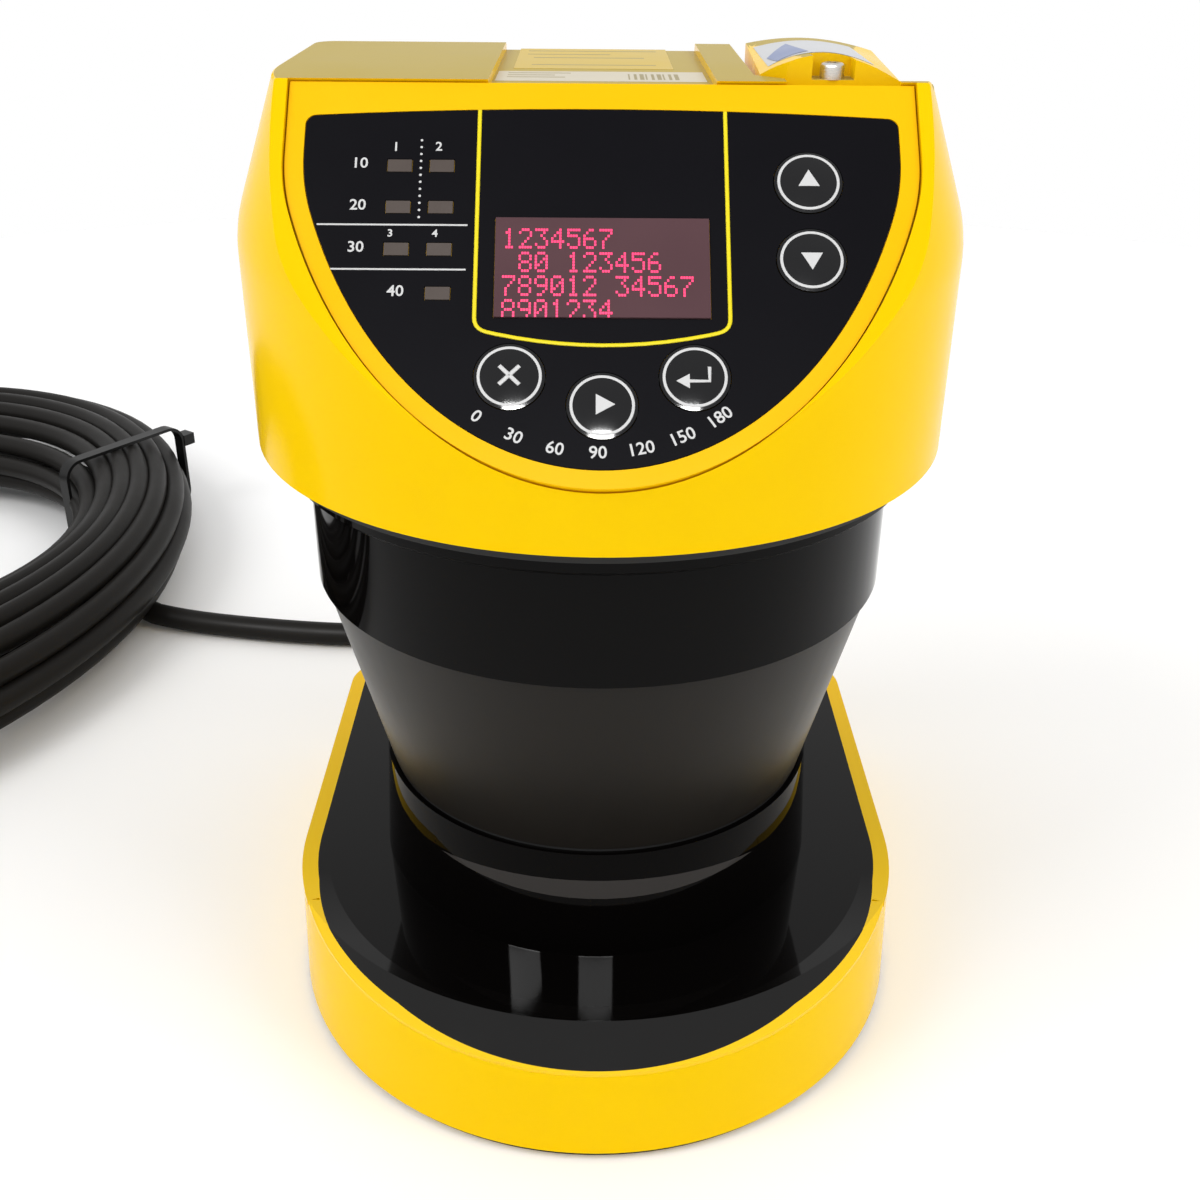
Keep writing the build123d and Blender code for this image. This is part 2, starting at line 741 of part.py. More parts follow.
def key_switches():
    switches = []
    for spot in KEYS.values():
        body = place(spot) * Rectangle(SWITCH, SWITCH)
        low = -PANEL_BOARD_DROP
        top = low + SWITCH_H
        switch = on_panel(body, low, top - PLUNGER_H)
        switch += on_panel(place(spot) * Circle(PLUNGER_R), top - PLUNGER_H, top)
        switches.append(switch)
    return Compound(switches)


def panel_board():
    plan = film_plan(-PANEL_BOARD_RIM)
    board = on_panel(plan, -PANEL_BOARD_DROP - PANEL_BOARD_T, -PANEL_BOARD_DROP)
    for spot in POSTS:
        board -= on_panel(place(spot) * Circle(POST_SCREW_R + 0.3), -20.0, 0.0)
    return board


def panel_board_screws():
    low = -PANEL_BOARD_DROP - PANEL_BOARD_T
    screws = []
    for spot in POSTS:
        head = on_panel(place(spot) * Circle(2.4), low - 1.6, low)
        shank = Circle(POST_SCREW_R - 0.1)
        shank = on_panel(place(spot) * shank, low, -PANEL_BOARD_DROP + 4.0)
        screws.append(head + shank)
    return Compound(screws)


# Head electronics

def main_board():
    board = block((-BOARD_X, BOARD_X), BOARD_Y, (BOARD_Z, BOARD_Z + BOARD_T))
    board = chamfer(board.edges().filter_by(Axis.Z), BOARD_CORNER)
    for x, y in STANDOFF_PLACES:
        board -= disc(SCREW_R + 0.2, BOARD_Z, BOARD_Z + BOARD_T, x, y)
    return board


def main_board_standoffs():
    low = HEAD_Z + HEAD_FLOOR
    return Compound([disc(STANDOFF_R, low, BOARD_Z, x, y) for x, y in STANDOFF_PLACES])


def main_board_screws():
    top = BOARD_Z + BOARD_T
    screws = []
    for x, y in STANDOFF_PLACES:
        head = disc(STANDOFF_R - 0.3, top, top + 1.8, x, y)
        screws.append(head + disc(SCREW_R - 0.1, BOARD_Z + 0.1, top, x, y))
    return Compound(screws)


def board_components():
    """Processor, cable sockets, a converter and two capacitors."""
    top = BOARD_Z + BOARD_T
    processor = block((-12, 12), (-6, 18), (top, top + 2.2))
    inlet = block((-40, -26), (24, 38), (top, top + 9.0))
    socket = block((-18, 14), (30, 38), (top, top + 7.0))
    converter = block((22, 40), (-12, 4), (top, top + 3.0))
    capacitors = [disc(4.5, top, top + 11.0, x, 22.0) for x in (26.0, 37.0)]
    return Compound([processor, inlet, socket, converter, *capacitors])


# Scanning head

def optics_deck():
    deck = disc(CARRIER_R - CARRIER_WALL - FIT, FLANGE_TOP_Z - DECK_T, FLANGE_TOP_Z)
    deck -= disc(SHAFT_R + 1.5, FLANGE_TOP_Z - DECK_T, FLANGE_TOP_Z)
    for turn in range(3):
        hole = disc(DECK_HOLE[1], 0, DECK_T, DECK_HOLE[0], 0)
        deck -= Pos(0, 0, FLANGE_TOP_Z - DECK_T) * Rot(0, 0, 90 + 120 * turn) * hole
    return deck


def scan_motor():
    low = MOTOR_LOW_Z
    high = FLANGE_TOP_Z - DECK_T
    motor = disc(MOTOR_R, low + 1.5, high) + disc(MOTOR_R - 4, low, low + 1.5)
    motor -= disc(SHAFT_R + 0.6, low, high)
    motor -= disc(BEARING_R, low, low + BEARING_T)
    motor -= disc(BEARING_R, high - BEARING_T, high)
    return motor


def motor_bearings():
    low = MOTOR_LOW_Z
    high = FLANGE_TOP_Z - DECK_T
    bore = SHAFT_R + RUN_FIT
    lower = tube(BEARING_R, bore, low, low + BEARING_T)
    upper = tube(BEARING_R, bore, high - BEARING_T, high)
    return Compound([lower, upper])


def motor_shaft():
    return disc(SHAFT_R, HOLDER_TOP_Z - 2 * HUB_H, FLANGE_TOP_Z - DECK_T + 2.0)


def mirror_plane(gap):
    """Plane of the tilted mirror's back, moved away from the light by a gap."""
    return Plane(origin=(0, 0, SCAN_Z + MIRROR_T), x_dir=(1, 0, 0), z_dir=(0, -1, 1)).offset(gap)


def mirror_holder():
    holder = disc(HOLDER_R, SCAN_Z - HOLDER_R, HOLDER_TOP_Z - ENCODER_T)
    holder = split(holder, bisect_by=mirror_plane(0.0), keep=Keep.TOP)
    holder += disc(HUB_R, HOLDER_TOP_Z, HOLDER_TOP_Z + HUB_H)
    holder += disc(ENCODER_BORE_R, HOLDER_TOP_Z - ENCODER_T, HOLDER_TOP_Z)
    return holder - disc(SHAFT_R, HOLDER_TOP_Z - 2 * HUB_H, HOLDER_TOP_Z + HUB_H)


def scan_mirror():
    column = disc(HOLDER_R, SCAN_Z - 2 * HOLDER_R, HOLDER_TOP_Z)
    above = split(column, bisect_by=mirror_plane(0.0), keep=Keep.BOTTOM)
    return split(above, bisect_by=mirror_plane(-MIRROR_T), keep=Keep.TOP)


def encoder_disc():
    low = HOLDER_TOP_Z - ENCODER_T
    wheel = tube(ENCODER_R, ENCODER_BORE_R, low, HOLDER_TOP_Z)
    slot = Pos(ENCODER_R - 3.0, 0, low + ENCODER_T / 2) * Box(*ENCODER_SLOT, ENCODER_T)
    for turn in range(ENCODER_SLOTS):
        wheel -= Rot(0, 0, turn * 360 / ENCODER_SLOTS) * slot
    return wheel


def encoder_sensor():
    """Slotted light barrier that hangs from the deck and straddles the disc's edge."""
    high = FLANGE_TOP_Z - DECK_T
    body = block((21.5, 33.0), (-4.0, 4.0), (HOLDER_TOP_Z - 5.0, high))
    gap = block((20.0, ENCODER_R + 1.0), (-4.0, 4.0), (HOLDER_TOP_Z - 2.3, HOLDER_TOP_Z + 1.5))
    return body - gap


# Receiving optics in the neck

def lens_barrel():
    inner = BARREL_R - BARREL_WALL
    flange_top = LEDGE_Z + 2.4
    barrel = tube(BARREL_R, inner, BARREL_LOW_Z, flange_top + 2.0)
    barrel += tube(LEDGE_R - 0.2, BARREL_R - 0.5, LEDGE_Z, flange_top)
    barrel += disc(BARREL_R, BARREL_LOW_Z, BARREL_LOW_Z + 2.0)
    barrel += tube(inner + 0.5, inner - 1.5, LEDGE_Z - 3.0, LEDGE_Z - 1.5)
    return barrel - disc(LASER_R, BARREL_LOW_Z, BARREL_LOW_Z + 2.0)


def receiver_lens():
    """Double convex lens with the laser's hole in the middle, seated on the barrel's rib."""
    radius = BARREL_R - BARREL_WALL - FIT
    low = LEDGE_Z - 1.5
    bulge = 1.6
    section = Polyline((LASER_R + FIT, low), (radius, low), (radius, low + LENS_T - bulge))
    crown = ThreePointArc(
        (radius, low + LENS_T - bulge),
        (radius * 0.6, low + LENS_T - 0.35),
        (LASER_R + FIT, low + LENS_T),
    )
    close = Line((LASER_R + FIT, low + LENS_T), (LASER_R + FIT, low))
    outline = make_face(section + crown + close)
    return revolve(Plane.XZ * outline, Axis.Z, 360)


def laser_module():
    body = disc(LASER_R, BARREL_LOW_Z - 6.0, LEDGE_Z + 5.0)
    return body - disc(2.0, LEDGE_Z + 2.0, LEDGE_Z + 5.0)


def detector_board():
    low = BARREL_LOW_Z - 1.6
    board = disc(BARREL_R + 3.0, low, BARREL_LOW_Z)
    return board - disc(LASER_R + FIT, low, BARREL_LOW_Z)


# Connector block

def hood_section(y, left, right, peak, fall_left, fall_right):
    """Arched section of the connector block at one depth, above the shelf's height."""
    width = right - left
    spring = (left, peak - fall_left)
    foot = (right, peak - fall_right)
    crown = Spline(
        spring,
        (left + 0.19 * width, peak - 0.3 * fall_left),
        (left + 0.45 * width, peak),
        (left + 0.77 * width, peak - 0.38 * fall_right),
        foot,
    )
    sides = Polyline(foot, (right, SHELF_Z), (left, SHELF_Z), spring)
    return Pos(0, y, 0) * (Plane.XZ * make_face(crown + sides))


def connector_hood():
    """Block with an arched top that falls to the right, and a tongue for its screw."""
    front_y = SHELF_Y + HOOD_GAP
    left, right = HOOD_FRONT_X
    rear_left, rear_right = HOOD_REAR_X
    front = hood_section(front_y, left, right, HOOD_TOP_Z, 4.0, 4.6)
    rear = hood_section(HOOD_REAR_Y, rear_left, rear_right, HOOD_TOP_Z - 2.6, 1.2, 2.5)
    hood = loft([front, rear])
    corners = [(left, front_y), (right, front_y)]
    corners += [(rear_right, HOOD_REAR_Y), (rear_left, HOOD_REAR_Y)]
    foot = extrude(Pos(0, 0, POCKET_Z) * make_face(Polyline(*corners, close=True)), SHELF_Z + 0.2 - POCKET_Z)
    foot -= block((0, WIDTH), (-DEPTH, POCKET_Y + HOOD_GAP), (POCKET_Z - 1, SHELF_Z))
    x, y = HOOD_SCREW
    half = HOOD_NOTCH / 2
    seat = SHELF_Z + HOOD_TONGUE_T
    notch = block((x - half, x + half), (front_y - 5, y + half), (seat, HEIGHT + 10))
    corner = Rot(0, 0, 45) * Box(HOOD_CORNER * 2**0.5, HOOD_CORNER * 2**0.5, HEIGHT)
    hood = hood + foot - notch - Pos(left, front_y, HEIGHT) * corner
    return hood - disc(SCREW_R + 0.1, SHELF_Z, seat, x, y)


def hood_screw():
    x, y = HOOD_SCREW
    seat = SHELF_Z + HOOD_TONGUE_T
    head = disc(SCREW_HEAD_R, seat, seat + SCREW_HEAD_H, x, y)
    head = fillet(head.edges().group_by(Axis.Z)[-1], 0.7)
    cross = Box(3.2, 0.8, 1.2) + Box(0.8, 3.2, 1.2)
    recess = Pos(x, y, seat + SCREW_HEAD_H) * Rot(0, 0, 30) * cross
    return head - recess + disc(SCREW_R - 0.1, SHELF_Z + 1.0 - SCREW_LEN, seat, x, y)


# Cable

def gland_piece(radius, start, length):
    """Round piece of the gland from a distance behind its seat."""
    return across_y(radius, GLAND_Y + start, GLAND_Y + start + length, GLAND_X, GLAND_Z)


def cable_gland():
    """Gland body screwed into the base's back, with its hexagon."""
    hexagon = extrude(Plane.XZ * RegularPolygon(GLAND_R, 6), -GLAND_HEX_T)
    body = Pos(GLAND_X, GLAND_Y, GLAND_Z) * hexagon
    body += gland_piece(GLAND_R - 2.5, 0.0, GLAND_LEN - GLAND_NUT_LEN)
    body += gland_piece(GLAND_THREAD_R - SEAT, -GLAND_THREAD_LEN, GLAND_THREAD_LEN)
    return body - gland_piece(CABLE_R - 1, -GLAND_THREAD_LEN, 2 * GLAND_LEN)


def gland_nut():
    """Domed clamping nut."""
    start = GLAND_LEN - GLAND_NUT_LEN
    dome = gland_piece(GLAND_R - 1.0, start, GLAND_NUT_LEN)
    dome = chamfer(dome.edges().group_by(Axis.Y)[-1], 1.8)
    return dome - gland_piece(CABLE_R - 1, start, GLAND_NUT_LEN)


def cable_points():
    """Route from the gland, down to the ground and round to the coil."""
    y = GLAND_Y + GLAND_LEN
    ground = CABLE_R + 0.1
    return [
        (GLAND_X, y, GLAND_Z),
        (GLAND_X, y + 20, GLAND_Z),
        (GLAND_X - 10, y + 38, 10.0),
        (GLAND_X - 32, y + 49, ground),
        (GLAND_X - 62, y + 50, ground),
        (GLAND_X - 92, y + 55, ground),
        (GLAND_X - 118, y + 62, ground),
        (GLAND_X - 136, y + 72, ground),
    ]


def corner_radii(points):
    """Largest even arcs that each corner's two runs allow."""
    vectors = [Vector(*point) for point in points]
    radii = []
    for before, here, after in zip(vectors, vectors[1:], vectors[2:]):
        come = here - before
        leave = after - here
        half = radians(come.get_angle(leave)) / 2
        radii.append(0.45 * min(come.length, leave.length) / tan(half))
    return radii


def cable():
    points = cable_points()
    radii = corner_radii(points)
    print("cable radii", [round(radius) for radius in radii])
    path = FilletPolyline(*points, radius=radii)
    start = Plane(origin=path @ 0, z_dir=path % 0)
    run = sweep(start * Circle(CABLE_R), path=path)
    print("cable volume ratio", round(run.volume / (pi * CABLE_R**2 * path.length), 3))
    return run


def tie_frame():
    """Place of the tie, its X along the strap's plane and its Y along the coil."""
    return Pos(*TIE_AT, COIL_LOW + COIL_H / 2) * Rot(0, 0, TIE_TURN)


def cable_coil():
    """Outer shape of the coiled cable, narrowed in the tie, with a seat for the incoming run."""
    middle = COIL_LOW + COIL_H / 2
    outer = extrude(Pos(*COIL_AT, COIL_LOW) * Ellipse(*COIL_OUTER), COIL_H)
    inner = extrude(Pos(*COIL_INNER_AT, COIL_LOW) * Ellipse(*COIL_INNER), COIL_H)
    ring = outer - inner
    rims = ring.edges().filter_by(lambda edge: abs(edge.center().Z - middle) > 1.0)
    ring = chamfer(rims, COIL_EDGE)
    gap = 3 * TIE_HALF
    ring -= tie_frame() * Box(gap, TIE_W + 1.0, COIL_H + 1.0)
    waist = Box(2 * TIE_HALF, TIE_W + 1.0, COIL_H)
    waist = chamfer(waist.edges().filter_by(Axis.Y), COIL_EDGE)
    return ring + tie_frame() * waist - cable()


def cable_tie():
    """Strap round the coil, with its head outside at the top."""
    inside = Rectangle(2 * (TIE_HALF + SEAT), COIL_H + 2 * SEAT)
    inside = fillet(inside.vertices(), TIE_CORNER)
    band = offset(inside, TIE_T) - inside
    strap = extrude(Plane.XZ * band, TIE_W / 2, both=True)
    out = TIE_HALF + SEAT + TIE_T - 0.2 + TIE_HEAD[0] / 2
    high = COIL_H / 2 - TIE_CORNER
    head = Pos(out, 0, high) * Box(*TIE_HEAD)
    return tie_frame() * (strap + head)


def cable_plug():
    """Round connector on the cable's far end, lying beside the coil, with its bend relief."""
    body = Cylinder(PLUG_R, PLUG_LEN)
    body = chamfer(body.edges(), 0.8)
    ring = Pos(0, 0, PLUG_LEN / 2 + 1.5) * Cylinder(PLUG_R - 1.6, 6)
    relief_z = -(PLUG_LEN + PLUG_RELIEF_LEN) / 2
    relief = Pos(0, 0, relief_z) * Cone(CABLE_R + 0.8, PLUG_R - 2.4, PLUG_RELIEF_LEN)
    plug = body + ring + relief
    return Pos(*PLUG_AT, PLUG_R) * Rot(0, 0, PLUG_TURN) * Rot(0, 90, 0) * plug


def build_all():
    parts = {
        "body_casting": body_casting(),
        "base_cover": base_cover(),
        "bottom_plate": bottom_plate(),
        "bottom_screws": bottom_screws(),
        "rear_cover": rear_cover(),
        "rear_cover_screws": rear_cover_screws(),
        "scan_window": scan_window(),
        "window_carrier": window_carrier(),
        "lower_seal": lower_seal(),
        "upper_seal": upper_seal(),
        "head_gasket": head_gasket(),
        "head_shell": head_shell(),
        "panel_bezel": panel_bezel(),
        "panel_film": panel_film(),
        "display_window": display_window(),
        "display_module": display_module(),
        "indicator_lenses": indicator_lenses(),
        "indicator_leds": indicator_leds(),
        "key_switches": key_switches(),
        "panel_board": panel_board(),
        "panel_board_screws": panel_board_screws(),
        "main_board": main_board(),
        "main_board_standoffs": main_board_standoffs(),
        "main_board_screws": main_board_screws(),
        "board_components": board_components(),
        "optics_deck": optics_deck(),
        "scan_motor": scan_motor(),
        "motor_bearings": motor_bearings(),
        "motor_shaft": motor_shaft(),
        "mirror_holder": mirror_holder(),
        "scan_mirror": scan_mirror(),
        "encoder_disc": encoder_disc(),
        "encoder_sensor": encoder_sensor(),
        "lens_barrel": lens_barrel(),
        "receiver_lens": receiver_lens(),
        "laser_module": laser_module(),
        "detector_board": detector_board(),
        "connector_hood": connector_hood(),
        "hood_screw": hood_screw(),
        "cable_gland": cable_gland(),
        "gland_nut": gland_nut(),
        "cable": cable(),
        "cable_coil": cable_coil(),
        "cable_tie": cable_tie(),
        "cable_plug": cable_plug(),
    }
    for name, spot in KEYS.items():
        parts[name] = key(spot)
    return parts


os.makedirs("parts", exist_ok=True)
for node, shape in build_all().items():
    save(shape, node)
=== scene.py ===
import json
import math

import bpy
from mathutils import Matrix, Vector


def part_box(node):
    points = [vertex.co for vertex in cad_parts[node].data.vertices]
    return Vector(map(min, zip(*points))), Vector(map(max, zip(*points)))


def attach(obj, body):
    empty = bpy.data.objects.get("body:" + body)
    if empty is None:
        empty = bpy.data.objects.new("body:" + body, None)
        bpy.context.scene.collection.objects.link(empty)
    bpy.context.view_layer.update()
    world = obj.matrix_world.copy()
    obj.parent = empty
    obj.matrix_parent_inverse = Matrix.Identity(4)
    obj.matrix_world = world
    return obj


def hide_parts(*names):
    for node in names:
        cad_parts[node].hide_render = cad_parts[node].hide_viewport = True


bl_info = {
    "name": "Safety laser scanner",
    "version": (1, 0, 0),
    "blender": (4, 5, 0),
    "location": "View3D > Sidebar > Scanner",
    "description": "Dresses the packed scanner with its finishes, printed marks and cable",
    "category": "Object",
}

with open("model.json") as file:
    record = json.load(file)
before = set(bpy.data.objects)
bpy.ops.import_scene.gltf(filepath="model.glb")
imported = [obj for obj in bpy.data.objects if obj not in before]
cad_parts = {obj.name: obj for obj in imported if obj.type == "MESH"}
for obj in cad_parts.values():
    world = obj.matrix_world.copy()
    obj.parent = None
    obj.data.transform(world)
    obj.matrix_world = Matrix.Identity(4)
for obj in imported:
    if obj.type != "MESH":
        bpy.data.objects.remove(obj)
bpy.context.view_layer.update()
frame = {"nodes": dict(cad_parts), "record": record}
UNIT = "unit"
MM = 0.001
FINISHES = {entry["node"]: entry["material_slot"] for entry in frame["record"]["subparts"]}

# The sloping panel: across u, down the slope v, and height above it, all in millimetres.
PANEL_TOP = Vector((0.0, -19.0, 205.0)) * MM
PANEL_FOOT = Vector((0.0, -71.0, 150.0)) * MM
PANEL_DOWN = (PANEL_FOOT - PANEL_TOP).normalized()
PANEL_ACROSS = Vector((1.0, 0.0, 0.0))
PANEL_OUT = PANEL_DOWN.cross(PANEL_ACROSS).normalized()
FILM_FACE = -0.8


# Settings


class ScannerFinishSettings(bpy.types.PropertyGroup):
    paint_yellow: bpy.props.FloatVectorProperty(
        name="Paint yellow", description="Colour of the painted castings",
        subtype="COLOR", default=(0.88, 0.555, 0.0), min=0.0, max=1.0)
    bezel_yellow: bpy.props.FloatVectorProperty(
        name="Bezel yellow", description="Colour of the plastic round the panel",
        subtype="COLOR", default=(0.88, 0.50, 0.0), min=0.0, max=1.0)
    gloss_black: bpy.props.FloatVectorProperty(
        name="Gloss black", description="Colour of the polished black plastic",
        subtype="COLOR", default=(0.0016, 0.0013, 0.0012), min=0.0, max=1.0)
    window_grey: bpy.props.FloatVectorProperty(
        name="Window grey", description="Colour of the conical scan window",
        subtype="COLOR", default=(0.0095, 0.008, 0.0065), min=0.0, max=1.0)
    film_black: bpy.props.FloatVectorProperty(
        name="Film black", description="Colour of the printed panel film",
        subtype="COLOR", default=(0.0042, 0.0040, 0.0056), min=0.0, max=1.0)
    mark_white: bpy.props.FloatVectorProperty(
        name="Print white", description="Colour of the white printed marks",
        subtype="COLOR", default=(0.60, 0.60, 0.60), min=0.0, max=1.0)
    mark_yellow: bpy.props.FloatVectorProperty(
        name="Print yellow", description="Colour of the printed frame line",
        subtype="COLOR", default=(0.80, 0.66, 0.01), min=0.0, max=1.0)
    display_grey: bpy.props.FloatVectorProperty(
        name="Display grey", description="Colour of the unlit display",
        subtype="COLOR", default=(0.095, 0.050, 0.057), min=0.0, max=1.0)
    display_pink: bpy.props.FloatVectorProperty(
        name="Display pink", description="Colour of the lit display dots",
        subtype="COLOR", default=(1.0, 0.006, 0.13), min=0.0, max=1.0)
    cable_black: bpy.props.FloatVectorProperty(
        name="Cable black", description="Colour of the cable's jacket",
        subtype="COLOR", default=(0.011, 0.010, 0.009), min=0.0, max=1.0)
    gloss: bpy.props.FloatProperty(
        name="Gloss", description="Strength of the reflections on the black plastics",
        default=0.08, min=0.0, max=1.0)
    bevel_gloss: bpy.props.FloatProperty(
        name="Bevel gloss", description="Strength of the reflections on the base's front bevel",
        default=0.28, min=0.0, max=1.0)


class ScannerPrintSettings(bpy.types.PropertyGroup):
    frame_line: bpy.props.FloatProperty(
        name="Frame line", description="Width of the yellow line round the display, in millimetres",
        default=0.72, min=0.2, max=2.0)
    thin_line: bpy.props.FloatProperty(
        name="Thin line", description="Width of the white dividing lines, in millimetres",
        default=0.36, min=0.1, max=1.0)
    ring_line: bpy.props.FloatProperty(
        name="Ring line", description="Width of the ring on each key, in millimetres",
        default=0.55, min=0.2, max=1.0)
    dot_gap: bpy.props.FloatProperty(
        name="Dot gap", description="Gap round each display dot, in millimetres",
        default=0.045, min=0.0, max=0.1)


class ScannerCordSettings(bpy.types.PropertyGroup):
    diameter: bpy.props.FloatProperty(
        name="Diameter", description="Diameter of the cable",
        unit="LENGTH", default=0.0078, min=0.004, max=0.012)
    turns: bpy.props.FloatProperty(
        name="Turns", description="Turns of the coil", default=12.57, min=1.0, max=20.0)
    points_per_turn: bpy.props.IntProperty(
        name="Points per turn", description="Control points on each turn of the coil",
        default=24, min=12, max=48)
    strands: bpy.props.IntProperty(
        name="Strands", description="Places for strands round the bundle",
        default=14, min=6, max=18)


class ScannerStageSettings(bpy.types.PropertyGroup):
    lens: bpy.props.FloatProperty(
        name="Lens", description="Focal length of the camera in millimetres", default=42.0)
    pitch: bpy.props.FloatProperty(
        name="Pitch", description="How far the camera looks down",
        subtype="ANGLE", default=0.48024)
    yaw: bpy.props.FloatProperty(
        name="Yaw", description="How far the camera looks to the right",
        subtype="ANGLE", default=0.009873)
    roll: bpy.props.FloatProperty(
        name="Roll", description="How far the camera is turned about its own axis",
        subtype="ANGLE", default=0.008943)
    eye: bpy.props.FloatVectorProperty(
        name="Eye", description="Place of the camera",
        subtype="TRANSLATION", unit="LENGTH", default=(-0.002271, -0.283628, 0.238205))
    floor_white: bpy.props.FloatProperty(
        name="Floor white", description="Brightness of the pale floor",
        default=0.98, min=0.0, max=1.0)


# Helpers


def object_mode():
    if bpy.context.object and bpy.context.object.mode != "OBJECT":
        bpy.ops.object.mode_set(mode="OBJECT")


def clear_selection():
    object_mode()
    bpy.ops.object.select_all(action="DESELECT")


def take(piece):
    """Makes a piece the only selected and the active object."""
    clear_selection()
    piece.select_set(True)
    bpy.context.view_layer.objects.active = piece


def panel_place(u, v, height=FILM_FACE, turn=0.0):
    """Frame on the panel, in millimetres: X across, Y up the slope, Z outwards."""
    at = PANEL_TOP + (PANEL_ACROSS * u + PANEL_DOWN * v + PANEL_OUT * height) * MM
    axes = Matrix((PANEL_ACROSS, -PANEL_DOWN, PANEL_OUT)).transposed().to_4x4()
    return Matrix.Translation(at) @ axes @ Matrix.Rotation(turn, 4, "Z") @ Matrix.Scale(MM, 4)


def settle(piece, body, material):
    """Puts a finished piece's place into its mesh and lets it ride on a body."""
    take(piece)
    bpy.ops.object.transform_apply(location=True, rotation=True, scale=True)
    piece.data.materials.clear()
    piece.data.materials.append(material)
    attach(piece, body)
    return piece


# Node groups that several materials share


# A Mix node's sockets: first and second value, and the result
MIX_SOCKETS = {"RGBA": (6, 7, 2), "FLOAT": (2, 3, 0)}

# Zones of the base, in metres from the part's origin
DECK_TOP = 0.0303
NECK_TOP = 0.0566
NECK_RADIUS = 0.056
BEVEL_CENTRE = 0.0053
BEVEL_RADIUS = 0.0645
BEVEL_FADE = (-0.045, -0.022)
RIM_CENTRE = 0.008
RIM_NOSE = (-0.0785, -0.062)
RIM_RADII = (0.0699, 0.0682)
RIM_START = (-0.042, -0.025)
RIM_WIDENING = -0.0017
# Height, half width and half turn of the lighter crescent painted on the neck: a painted reflection
# of the bevel
CRESCENT_REFLECTION_HEIGHT = 0.0474
CRESCENT_REFLECTION_HALF_WIDTH = 0.0023
CRESCENT_REFLECTION_HALF_TURN = 0.75

# The level top, where a darker tan and weaker gloss are painted as shade
TOP_HEIGHT = 0.19
TOP_NORMAL = 0.97


def node(tree, kind, inputs=None, **values):
    made = tree.nodes.new(kind)
    for name, value in values.items():
        setattr(made, name, value)
    for name, value in (inputs or {}).items():
        if isinstance(value, bpy.types.NodeSocket):
            tree.links.new(value, made.inputs[name])
        else:
            made.inputs[name].default_value = value
    return made


def math_chain(tree, value, *steps):
    """Feeds a value through math nodes given as (operation, second value)."""
    for operation, other in steps:
        value = node(tree, "ShaderNodeMath", {0: value, 1: other}, operation=operation).outputs[0]
    return value


def ranged(tree, value, low, high, new_low=0.0, new_high=1.0):
    """Value moved from one range to another and held at its ends."""
    return node(tree, "ShaderNodeMapRange", {
        "Value": value, "From Min": low, "From Max": high,
        "To Min": new_low, "To Max": new_high}).outputs["Result"]


def mixed(tree, factor, first, second, kind="RGBA"):
    """Mix of two colours or floats, each a socket or a plain value."""
    first_at, second_at, result_at = MIX_SOCKETS[kind]
    return node(tree, "ShaderNodeMix", {
        "Factor": factor, first_at: first, second_at: second}, data_type=kind).outputs[result_at]


def overlaid(tree, colour, mask, over):
    """Colour with another one laid over it where the mask is."""
    return mixed(tree, mask, colour, (*over, 1.0))


def new_group(name, inputs, outputs):
    """Empty shader group with float inputs (name: default) and typed outputs."""
    tree = bpy.data.node_groups.new(name, "ShaderNodeTree")
    for label, value in inputs.items():
        kind = "NodeSocketColor" if isinstance(value, tuple) else "NodeSocketFloat"
        socket = tree.interface.new_socket(label, in_out="INPUT", socket_type=kind)
        socket.default_value = value
    for label, kind in outputs.items():
        tree.interface.new_socket(label, in_out="OUTPUT", socket_type=kind)
    return tree, tree.nodes.new("NodeGroupInput"), tree.nodes.new("NodeGroupOutput")


def grain_group():
    """Fine skin of moulded or painted surfaces, as a height and a small tone change."""
    if "skin grain" in bpy.data.node_groups:
        return bpy.data.node_groups["skin grain"]
    tree, given, result = new_group(
        "skin grain", {"Scale": 1500.0, "Waviness": 0.3},
        {"Height": "NodeSocketFloat", "Tone": "NodeSocketFloat"})
    place = node(tree, "ShaderNodeTexCoord")
    fine = node(tree, "ShaderNodeTexNoise", {
        "Vector": place.outputs["Object"], "Scale": given.outputs["Scale"], "Detail": 3.0})
    broad = node(tree, "ShaderNodeTexNoise", {
        "Vector": place.outputs["Object"], "Scale": 60.0, "Detail": 1.0})
    wave = math_chain(tree, broad.outputs["Fac"], ("MULTIPLY", given.outputs["Waviness"]))
    height = math_chain(tree, fine.outputs["Fac"], ("ADD", wave))
    tree.links.new(height, result.inputs["Height"])
    tree.links.new(broad.outputs["Fac"], result.inputs["Tone"])
    return tree


def handling_group():
    """Roughness that varies with handling: broad smears and a few fine scuffs."""
    if "handling" in bpy.data.node_groups:
        return bpy.data.node_groups["handling"]
    tree, given, result = new_group(
        "handling", {"Clean": 0.2, "Worn": 0.35, "Scale": 30.0}, {"Roughness": "NodeSocketFloat"})
    place = node(tree, "ShaderNodeTexCoord")
    smear = node(tree, "ShaderNodeTexNoise", {
        "Vector": place.outputs["Object"], "Scale": given.outputs["Scale"],
        "Detail": 5.0, "Roughness": 0.6})
    rough = ranged(
        tree, smear.outputs["Fac"], 0.35, 0.75, given.outputs["Clean"], given.outputs["Worn"])
    tree.links.new(rough, result.inputs["Roughness"])
    return tree


